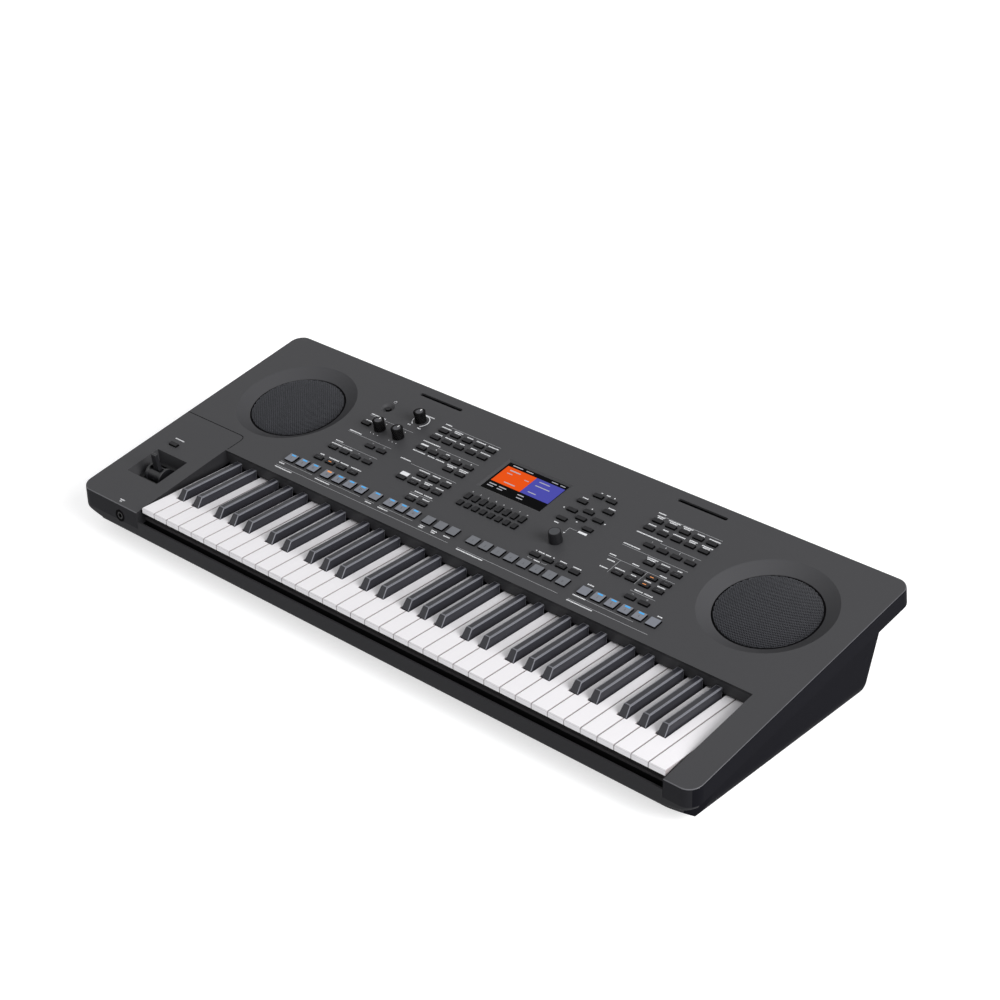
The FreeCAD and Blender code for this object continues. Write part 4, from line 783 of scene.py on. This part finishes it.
def makeLattice():
    startFresh()
    count = int(2 * grille["radius"] / grille["pitch"] * grille["spare"])
    bpy.ops.mesh.primitive_grid_add(x_subdivisions=count, y_subdivisions=count, size=count * grille["pitch"] * mm)
    lattice = bpy.context.object
    lattice.data.transform(spin(45))
    edge = (grille["radius"] - grille["gap"]) * mm
    pick(lattice, "VERT", lambda v: v.co.xy.length > edge + grille["snap"] * grille["pitch"] * mm)
    bpy.ops.mesh.delete(type="VERT")
    done()
    for v in lattice.data.vertices:
        v.co *= min(1, edge / max(edge, v.co.xy.length))
        v.co.z = domeHeight(v.co.x, v.co.y)
    makeActive(lattice)
    wire = lattice.modifiers.new("strands", "WIREFRAME")
    wire.thickness = grille["strand"] * mm
    wire.use_even_offset = False
    bpy.ops.object.modifier_apply(modifier="strands")
    paint(lattice, 0)
    return lattice


def makeCloth():
    half = grille["low"] + cloth["thick"] / 2
    disc = addRound(grille["radius"], cloth["thick"], (0, 0, half), cloth["sides"])
    pick(disc, "FACE", facesUp)
    bpy.ops.mesh.inset(thickness=grille["gap"] * mm)
    for ring in range(cloth["rings"]):
        bpy.ops.mesh.inset(thickness=grille["radius"] / (cloth["rings"] + 1) * mm)
    done()
    for v in disc.data.vertices:
        if v.co.z > half * mm:
            v.co.z = domeHeight(v.co.x, v.co.y) - cloth["under"] * mm
    # painted shade: the cloth's outer ring takes the black finish for the gap round the grille
    border = (grille["radius"] - cloth["border"] * grille["gap"]) * mm
    paint(disc, 1)
    paint(disc, 2, lambda face: face.center.xy.length > border)
    smooth(disc, cloth["crease"])
    return disc


def buildGrilles():
    models = (makeLattice(), makeCloth())
    pieces = [copyOf(model, shift(*place)) for model in models for place in grille["places"]]
    for model in models:
        bpy.data.objects.remove(model)
    used = ["grilleBlack", "grilleCloth", "blackTrimAndShade"]
    deliver(joined(pieces, used), "speaker-grille-lattices", "case", used, ["speaker_grilles"])


buildGrilles()
print("grilles built")


# display
display = {"centre": (-1.1, 309.4), "width": 98, "height": 57.6, "depth": 2.0, "thick": 1.5, "lap": 4,
           "clear": 0.02, "corner": 2, "edge": 0.2}
screenPlate = {"thick": 0.2, "corner": 0.25, "rise": 0.03, "textRise": 0.06}
screenPlates = {   # left, right, low, high, on the glass
    "screenOrange": [(-47.1, 0.6, 297.5, 331)],
    "screenBlue": [(0.8, 46.9, 297.5, 331)],
    "screenWhite": [
        (-42, -26, 334.2, 335.6), (-20, -9, 334.2, 335.6), (22, 32, 334.2, 335.4), (36, 44, 334.2, 335.4),
        (-39, -22, 324.6, 326.4), (-39, -30, 318.6, 319.8), (-30, -12, 302.2, 303.8), (-10, -3, 318.6, 319.8),
        (9, 26, 325.4, 326.8), (9, 32, 317.4, 318.8), (9, 22, 303, 304.4), (-45, -33, 291.6, 293.2),
        (-29, -17, 291.6, 293.2), (-45, -35, 287.4, 288.8), (-29, -20, 287.4, 288.8), (2, 12, 291.6, 293.2),
        (4, 14, 286.4, 287.8),
    ],
}


def buildDisplay():
    top = -display["depth"] - display["clear"]
    glass = addBlock((display["width"] + 2 * display["lap"], display["height"] + 2 * display["lap"],
                      display["thick"]),
                     (*display["centre"], top - display["thick"] / 2))
    roundEdges(glass, upright, display["corner"], 4)
    roundEdges(glass, lambda edge: atHeight(edge, top), display["edge"])
    used = ["lensBlack", "screenOrange", "screenBlue", "screenWhite"]
    pieces = [glass]
    for name, places in screenPlates.items():
        rise = screenPlate["textRise" if name == "screenWhite" else "rise"]
        level = rise - display["depth"] - screenPlate["thick"] / 2
        for left, right, low, high in places:
            plate = addBlock((right - left, high - low, screenPlate["thick"]),
                             ((left + right) / 2, (low + high) / 2, level))
            roundEdges(plate, upright, screenPlate["corner"], 1)
            paint(plate, used.index(name))
            pieces.append(plate)
    deliver(joined(pieces, used), "display-screen", "case", used, ["display_lens"])


buildDisplay()
print("display built")


# printed marks on the panel: plain bars, lines and signs
printing = {"thick": 0.05, "lift": 0.01, "bar": 1.7, "strokes": (0.9, 1.2, 1.5, 1.8), "gap": 0.5, "line": 0.5,
            "dot": 1.0, "numeral": 3, "numeralLift": 0.03}
marks = {
    "bars": [   # left, right, place up the panel
        (-216, -197, 355.5), (-220.5, -215.5, 328.8), (-203.5, -197.5, 328.8), (-278, -252.5, 320.5),
        (-275, -264, 307), (-278, -257, 279), (-278, -265.5, 253), (-278.5, -260, 246), (-258, -241.5, 246),
        (-274, -266, 220), (-258, -240, 220), (-237, -222, 220), (-218, -200, 220),
        (-308, -298, 177.7), (-242, -216, 177.7), (-152, -141, 177.7), (-130, -113, 177.7),
        (-59, -51, 179.5), (-59, -51, 176.5), (-39.5, -30, 179.5), (-38, -31, 176.5), (-19.5, -9.5, 179.5),
        (-307, -277, 169), (11, 54, 169), (189, 199, 203.4), (293.5, 301, 202.6), (186, 205, 179.5),
        (186, 224, 168.3), (-176, -164.5, 355), (-176.5, -159.5, 348), (-155, -140, 349.4), (-153, -142, 346.6),
        (-132, -122, 348), (-115.5, -99, 348), (-95, -78, 348), (-174, -162, 332.5), (-156.5, -138, 332.5),
        (-131, -123, 332.5), (-112, -101, 332.5), (-95, -78.5, 332.5), (-177, -148, 313), (-131, -124, 306),
        (-175, -154, 291), (-149, -137, 291), (-135, -120, 291), (-115, -99, 291), (-112, -102, 288.3),
        (-94, -78.5, 291), (-92, -81, 288.3), (-177, -159, 270), (-137.5, -118.5, 263), (-114, -101, 263),
        (-91, -82.5, 263), (-135, -120, 246.3), (-113.5, -101, 247.6), (-112, -103, 245), (-93.5, -80, 246.3),
        (-112, -98.5, 227), (-96, -82, 227), (-114.5, -99, 220), (-92, -81, 220),
        (100, 105.5, 348), (77, 86.5, 329.5), (118, 128.5, 329.5), (78, 85, 274), (100, 110, 219.3),
        (111.5, 120, 219.3), (134, 145, 219.3), (154, 167, 219.3), (105, 114.5, 204),
        (175.5, 186.5, 354.5), (178, 190, 349), (180, 188, 346.4), (195.5, 213.5, 349), (199, 210, 346.4),
        (217.5, 232.5, 349), (220, 230, 346.4), (240.5, 251, 346.5), (258, 274.5, 346.5), (178.5, 190, 331),
        (200.5, 208.5, 331), (216, 234, 331), (239.5, 251, 332.2), (241, 250, 329.6), (258, 274.5, 332.2),
        (261, 271, 329.6), (175.5, 214, 312.3), (175.5, 201, 286.6), (217, 233, 280.3), (219, 231, 277.6),
        (239, 251.5, 279), (263, 269.5, 279), (175, 184.5, 261.7), (209.5, 220, 261.2), (250.5, 261, 261.2),
        (179, 190.5, 252), (179, 191, 237.6), (196.5, 212, 244.5), (221, 228.5, 244.5), (240.5, 250.5, 244.5),
        (260, 272, 244.5), (241.5, 254, 225.3), (255.5, 268.5, 225.3), (-469, -452, 140.2),
        (-431, -422.5, 9.3), (-428.6, -425, 6.4),
    ],
    "lines": [   # left, right, place up the panel
        (-278, -200.5, 317.6), (-278, -200.5, 276.3), (-278, -200.5, 250.2), (-308, -250.5, 180.7),
        (-242, -164.5, 180.7), (-156, -139, 180.7), (-130, -72.5, 180.7), (-308, -5.5, 172), (10, 170, 171.7),
        (206, 276, 179.5), (186, 304, 170.8), (-164, -78, 352.5), (-148, -78, 309.7), (-156, -78, 267),
        (-116, -78.5, 223.5), (95.5, 102, 204), (117, 124, 204), (102.3, 114, 274), (187, 274, 350.8),
        (214, 274.5, 308.5), (176, 274.5, 283.3), (175, 274.5, 258.3), (237.5, 274.5, 222),
        (-231, -228, 272.8), (-211, -208, 272.8), (-231, -228, 246.5), (-211, -208, 246.5), (243.5, 246.5, 218),
        (264.5, 267.5, 218.3),
    ],
    "uprights": [   # place across, low, high
        (194, 233, 258), (234.8, 233, 258), (102.3, 265.5, 274), (-209.5, 271.3, 274.3), (-209.5, 245, 248),
        (266, 216.8, 219.8), (-268.6, 355.6, 358.6), (95.5, 204, 206), (124, 204, 206),
    ],
    "tags": [   # left, right, low, high: filled plates
        (-174.5, -162, 304.7, 307.3), (-154.5, -141.5, 243.8, 250.2), (116, 129, 272.3, 275.7),
    ],
    "arrows": [   # place across, place up, size, turn in degrees
        (92.5, 348, 1.5, 90), (112.5, 348, 1.5, -90), (102.4, 317, 1.5, 0), (70, 302, 1.5, 90),
        (134.5, 302, 1.5, -90), (102, 287.5, 1.5, 180), (102.3, 263.4, 1.6, 180), (-148, 306, 1.3, 90),
        (-107.5, 306, 1.3, -90), (-87.5, 306, 1.3, -90), (96.5, 219.3, 1.3, 90), (124, 219.3, 1.3, -90),
    ],
    "dots": [   # place across, place up
        (-250, 288.5), (-244, 287.5), (-237, 288), (-243.5, 312.5), (-216.5, 288.5), (-210, 287.5), (-203.5, 288),
        (-210, 312.5),
    ],
    "numerals": [("1", 204.5, 305), ("2", 225, 305), ("3", 245.5, 305), ("4", 266, 305)]
                + [(str(k + 1), -47.4 + 12.82 * k, 265) for k in range(8)],
    "ring": {"centre": (-209.4, 342), "radius": 11.8, "dash": 1.5, "wide": 1.0, "from": -50, "to": 230,
             "step": 14},
    "powerRing": {"centre": (-268.6, 355.6), "radius": 2.1, "dash": 0.8, "wide": 0.5, "from": 120, "to": 420,
                  "step": 20},
}
drift = {"right": 170, "rightBy": 0.7, "left": -60, "leftBy": -0.4}


def lifted(x, v):   # rows drift a little across the panel, as the caps' rows were evened out
    return v + (drift["rightBy"] if x > drift["right"] else drift["leftBy"] if x < drift["left"] else 0)


def makePlate():
    plate = addBlock((1, 1, printing["thick"]), (0, 0, printing["thick"] / 2))
    pick(plate, "FACE", facesDown)
    bpy.ops.mesh.delete(type="FACE")
    done()
    return plate


def buildPrints():
    plate = makePlate()
    pieces = []

    def put(x, v, wide, high, turn=0, about=(0, 0), index=0):
        place = shift(*about) @ spin(turn) @ shift(x, v)
        pieces.append(copyOf(plate, place @ Matrix.Diagonal((wide, high, 1, 1))))
        paint(pieces[-1], index)

    for left, right, v in marks["bars"]:
        at = left
        while at < right - printing["gap"]:
            wide = min(random.choice(printing["strokes"]), right - at)
            put(at + wide / 2, lifted(left, v), wide, printing["bar"])
            at += wide + printing["gap"]
    for left, right, v in marks["lines"]:
        put((left + right) / 2, lifted(left, v), right - left, printing["line"], index=1)
    for x, low, high in marks["uprights"]:
        put(x, lifted(x, (low + high) / 2), printing["line"], high - low, index=1)
    for left, right, low, high in marks["tags"]:
        put((left + right) / 2, lifted(left, (low + high) / 2), right - left, high - low)
    for x, v in marks["dots"]:
        put(x, v, printing["dot"], printing["dot"])
    for ring in (marks["ring"], marks["powerRing"]):
        for angle in range(ring["from"], ring["to"] + 1, ring["step"]):
            put(ring["radius"], 0, ring["wide"], 2 * ring["dash"], angle, ring["centre"])
    for x, v, size, turn in marks["arrows"]:
        arrow = addRound(size, printing["thick"], (0, 0, printing["thick"] / 2), sides=3)
        arrow.data.transform(shift(x, lifted(x, v)) @ spin(turn))
        pieces.append(arrow)
    for word, x, v in marks["numerals"]:
        numeral = makeWord(word, printing["numeral"])
        numeral.data.transform(shift(x, lifted(x, v), printing["numeralLift"]))
        pieces.append(numeral)
    bpy.data.objects.remove(plate)
    used = ["printGrey", "printFaint"]
    prints = joined(pieces, used)
    prints.data.transform(shift(0, 0, printing["lift"]))
    deliver(prints, "panel-print", "case", used)


buildPrints()
print("prints built")


# fascia strip behind the keys, groove on the left of the panel, ring around the headphone jack
groove = {"points": [(-500.6, 191.6), (-396, 191.6), (-391, 190.4), (-388.4, 187), (-387.6, 182), (-388.6, 160.2)],
          "wide": 1.1, "rise": 0.05, "corner": 0.495}
jackRing = {"centre": (-424, -202, 48), "outer": 8.2, "inner": 3.3, "thick": 0.9, "rim": 1.1, "dish": 0.75,
            "middle": 0.1}


def buildStrip():
    front = fascia["setback"] - fascia["thick"] / 2
    strip = addBlock((fascia["right"] - fascia["left"], fascia["thick"], fascia["high"] - fascia["low"]),
                     ((fascia["left"] + fascia["right"]) / 2, front, (fascia["low"] + fascia["high"]) / 2))
    roundEdges(strip, lambda edge: abs(edgeRun(edge).x) > limits["along"] and edge.verts[0].co.y < front * mm,
               fascia["edge"], 1)
    deliver(strip, "fascia-strip", "case", ["fasciaGloss"])


# painted shade: the groove is a thin black strip laid on the panel
def buildGroove():
    runs = []
    for (x0, v0), (x1, v1) in zip(groove["points"], groove["points"][1:]):
        length = math.hypot(x1 - x0, v1 - v0)
        run = addBlock((length + groove["wide"], groove["wide"], 2 * groove["rise"]), (0, 0, 0))
        roundEdges(run, upright, groove["corner"])
        run.data.transform(shift((x0 + x1) / 2, (v0 + v1) / 2)
                           @ spin(math.degrees(math.atan2(v1 - v0, x1 - x0))))
        runs.append(run)
    deliver(joined(runs), "panel-groove", "case", ["blackTrimAndShade"])


def buildJackRing():
    ring = addRound(jackRing["outer"], jackRing["thick"], (0, 0, 0))
    pick(ring, "FACE", facesUp)
    bpy.ops.mesh.inset(thickness=jackRing["rim"] * mm)
    bpy.ops.mesh.inset(thickness=(jackRing["outer"] - jackRing["rim"] - jackRing["inner"]) * mm,
                       depth=-jackRing["dish"] * mm)
    done()
    insetFaces(ring, facesDown, jackRing["outer"] - jackRing["inner"])
    pick(ring, "FACE", lambda face: (facesUp(face) or facesDown(face))
         and face.calc_center_median().xy.length < jackRing["middle"] * mm)
    bpy.ops.mesh.bridge_edge_loops()
    done()
    smooth(ring)
    ring.data.transform(shift(*jackRing["centre"]) @ spin(90, "X"))
    deliver(ring, "headphone-ring", "case", ["blackTrimAndShade"], turned=False)


buildStrip()
buildGroove()
buildJackRing()
print("trim built")


# finishes for the CAD pieces that stay
carried = {
    "rear_sockets": "socketBlack", "headphone_jack": "socketBlack", "speaker_drivers": "driverPaper",
    "display_module": "frameGrey", "circuit_boards": "boardGreen", "panel_switches": "switchGrey",
    # painted shade: the keybed under the keys takes the near-black finish
    "keybed": "recessPaintedShade", "key_pivot_rod": "steelBright", "key_felt": "feltDark",
    "key_contact_board": "boardGreen", "contact_rubber": "rubberGrey", "joystick_housing": "socketBlack",
    "rubber_feet": "rubberBlack", "case_screws": "steelBright",
}
for node, name in carried.items():
    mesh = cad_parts[node].data
    mesh.materials.clear()
    mesh.materials.append(finish[name])
print("carried nodes finished")


# floor, light and camera
stage = {"floor": 30, "floorTone": (206, 206, 207), "rough": 0.9, "specular": 0.1, "whiten": 0.62, "sky": 0.25}
pureWhite = (1, 1, 1, 1)


def seenDirectly(nodes, link):   # one for rays from the camera, from gloss and through glass, otherwise nought
    path = nodes.new("ShaderNodeLightPath")
    result = path.outputs["Is Camera Ray"]
    for kind in ("Is Glossy Ray", "Is Transmission Ray"):
        more = nodes.new("ShaderNodeMath")
        more.operation = "MAXIMUM"
        link(result, more.inputs[0])
        link(path.outputs[kind], more.inputs[1])
        result = more.outputs[0]
    return result


def buildFloor():
    startFresh()
    bpy.ops.mesh.primitive_plane_add(size=stage["floor"])
    floor = bpy.context.object
    floor.name = "studioFloor"
    material = bpy.data.materials.new("paleFloor")
    material.use_nodes = True
    nodes = material.node_tree.nodes
    link = material.node_tree.links.new
    shader = nodes["Principled BSDF"]
    shader.inputs["Base Color"].default_value = tone(*stage["floorTone"])
    shader.inputs["Roughness"].default_value = stage["rough"]
    shader.inputs["Specular IOR Level"].default_value = stage["specular"]
    glow = nodes.new("ShaderNodeMath")
    glow.operation = "MULTIPLY"
    glow.inputs[1].default_value = stage["whiten"]
    link(seenDirectly(nodes, link), glow.inputs[0])
    shader.inputs["Emission Color"].default_value = pureWhite
    link(glow.outputs[0], shader.inputs["Emission Strength"])
    floor.data.materials.append(material)


def buildSky():
    world = bpy.data.worlds.new("studioSky")
    bpy.context.scene.world = world
    world.use_nodes = True
    nodes = world.node_tree.nodes
    link = world.node_tree.links.new
    sky = nodes["Background"]
    strength = nodes.new("ShaderNodeMapRange")
    strength.inputs["To Min"].default_value = stage["sky"]
    strength.inputs["To Max"].default_value = 1
    link(seenDirectly(nodes, link), strength.inputs["Value"])
    sky.inputs["Color"].default_value = pureWhite
    link(strength.outputs["Result"], sky.inputs["Strength"])


lamps = {   # soft studio lamps: a sun's width is in degrees, a box's in metres
    "topSoft": {"kind": "SUN", "from": (0.15, -0.1, 1), "wide": 70, "bright": 0.3},
    "frontFill": {"kind": "SUN", "from": (-0.2, -1, 0.45), "wide": 90, "bright": 1.0},
    "sideKey": {"kind": "SUN", "from": (1, -0.05, 0.5), "wide": 40, "bright": 3.05},
    "keyBox": {"kind": "AREA", "from": (1.6, 0, 0.9), "wide": 0.8, "bright": 10},
}


def buildLamps():
    for name, lamp in lamps.items():
        light = bpy.data.lights.new(name, lamp["kind"])
        light.energy = lamp["bright"]
        if lamp["kind"] == "SUN":
            light.angle = math.radians(lamp["wide"])
        else:
            light.size = lamp["wide"]
        holder = bpy.data.objects.new(name, light)
        bpy.context.collection.objects.link(holder)
        holder.location = lamp["from"]
        holder.rotation_euler = (-Vector(lamp["from"])).to_track_quat("-Z", "Y").to_euler()


camera = {"place": (1.6115, -1.7063, 1.4835), "focal": 2241, "centre": (478, 563), "pixels": 1000, "sensor": 36,
          "far": 50, "right": (0.73720, 0.67544, -0.01793), "down": (0.34049, -0.39429, -0.85358),
          "ahead": (-0.58361, 0.62315, -0.52065)}


def buildCamera():
    data = bpy.data.cameras.new("photoCamera")
    holder = bpy.data.objects.new("photoCamera", data)
    bpy.context.collection.objects.link(holder)
    data.sensor_width = camera["sensor"]
    data.lens = camera["focal"] * camera["sensor"] / camera["pixels"]
    data.shift_x = 0.5 - camera["centre"][0] / camera["pixels"]
    data.shift_y = camera["centre"][1] / camera["pixels"] - 0.5
    data.clip_end = camera["far"]
    right, down, ahead = (Vector(camera[key]) for key in ("right", "down", "ahead"))
    turn = Matrix((right, -down, -ahead)).transposed()
    holder.matrix_world = Matrix.Translation(camera["place"]) @ turn.to_4x4()
    bpy.context.scene.camera = holder


buildFloor()
buildSky()
buildLamps()
buildCamera()
bpy.context.scene.view_settings.view_transform = "Standard"
print("stage, lamps and camera set")
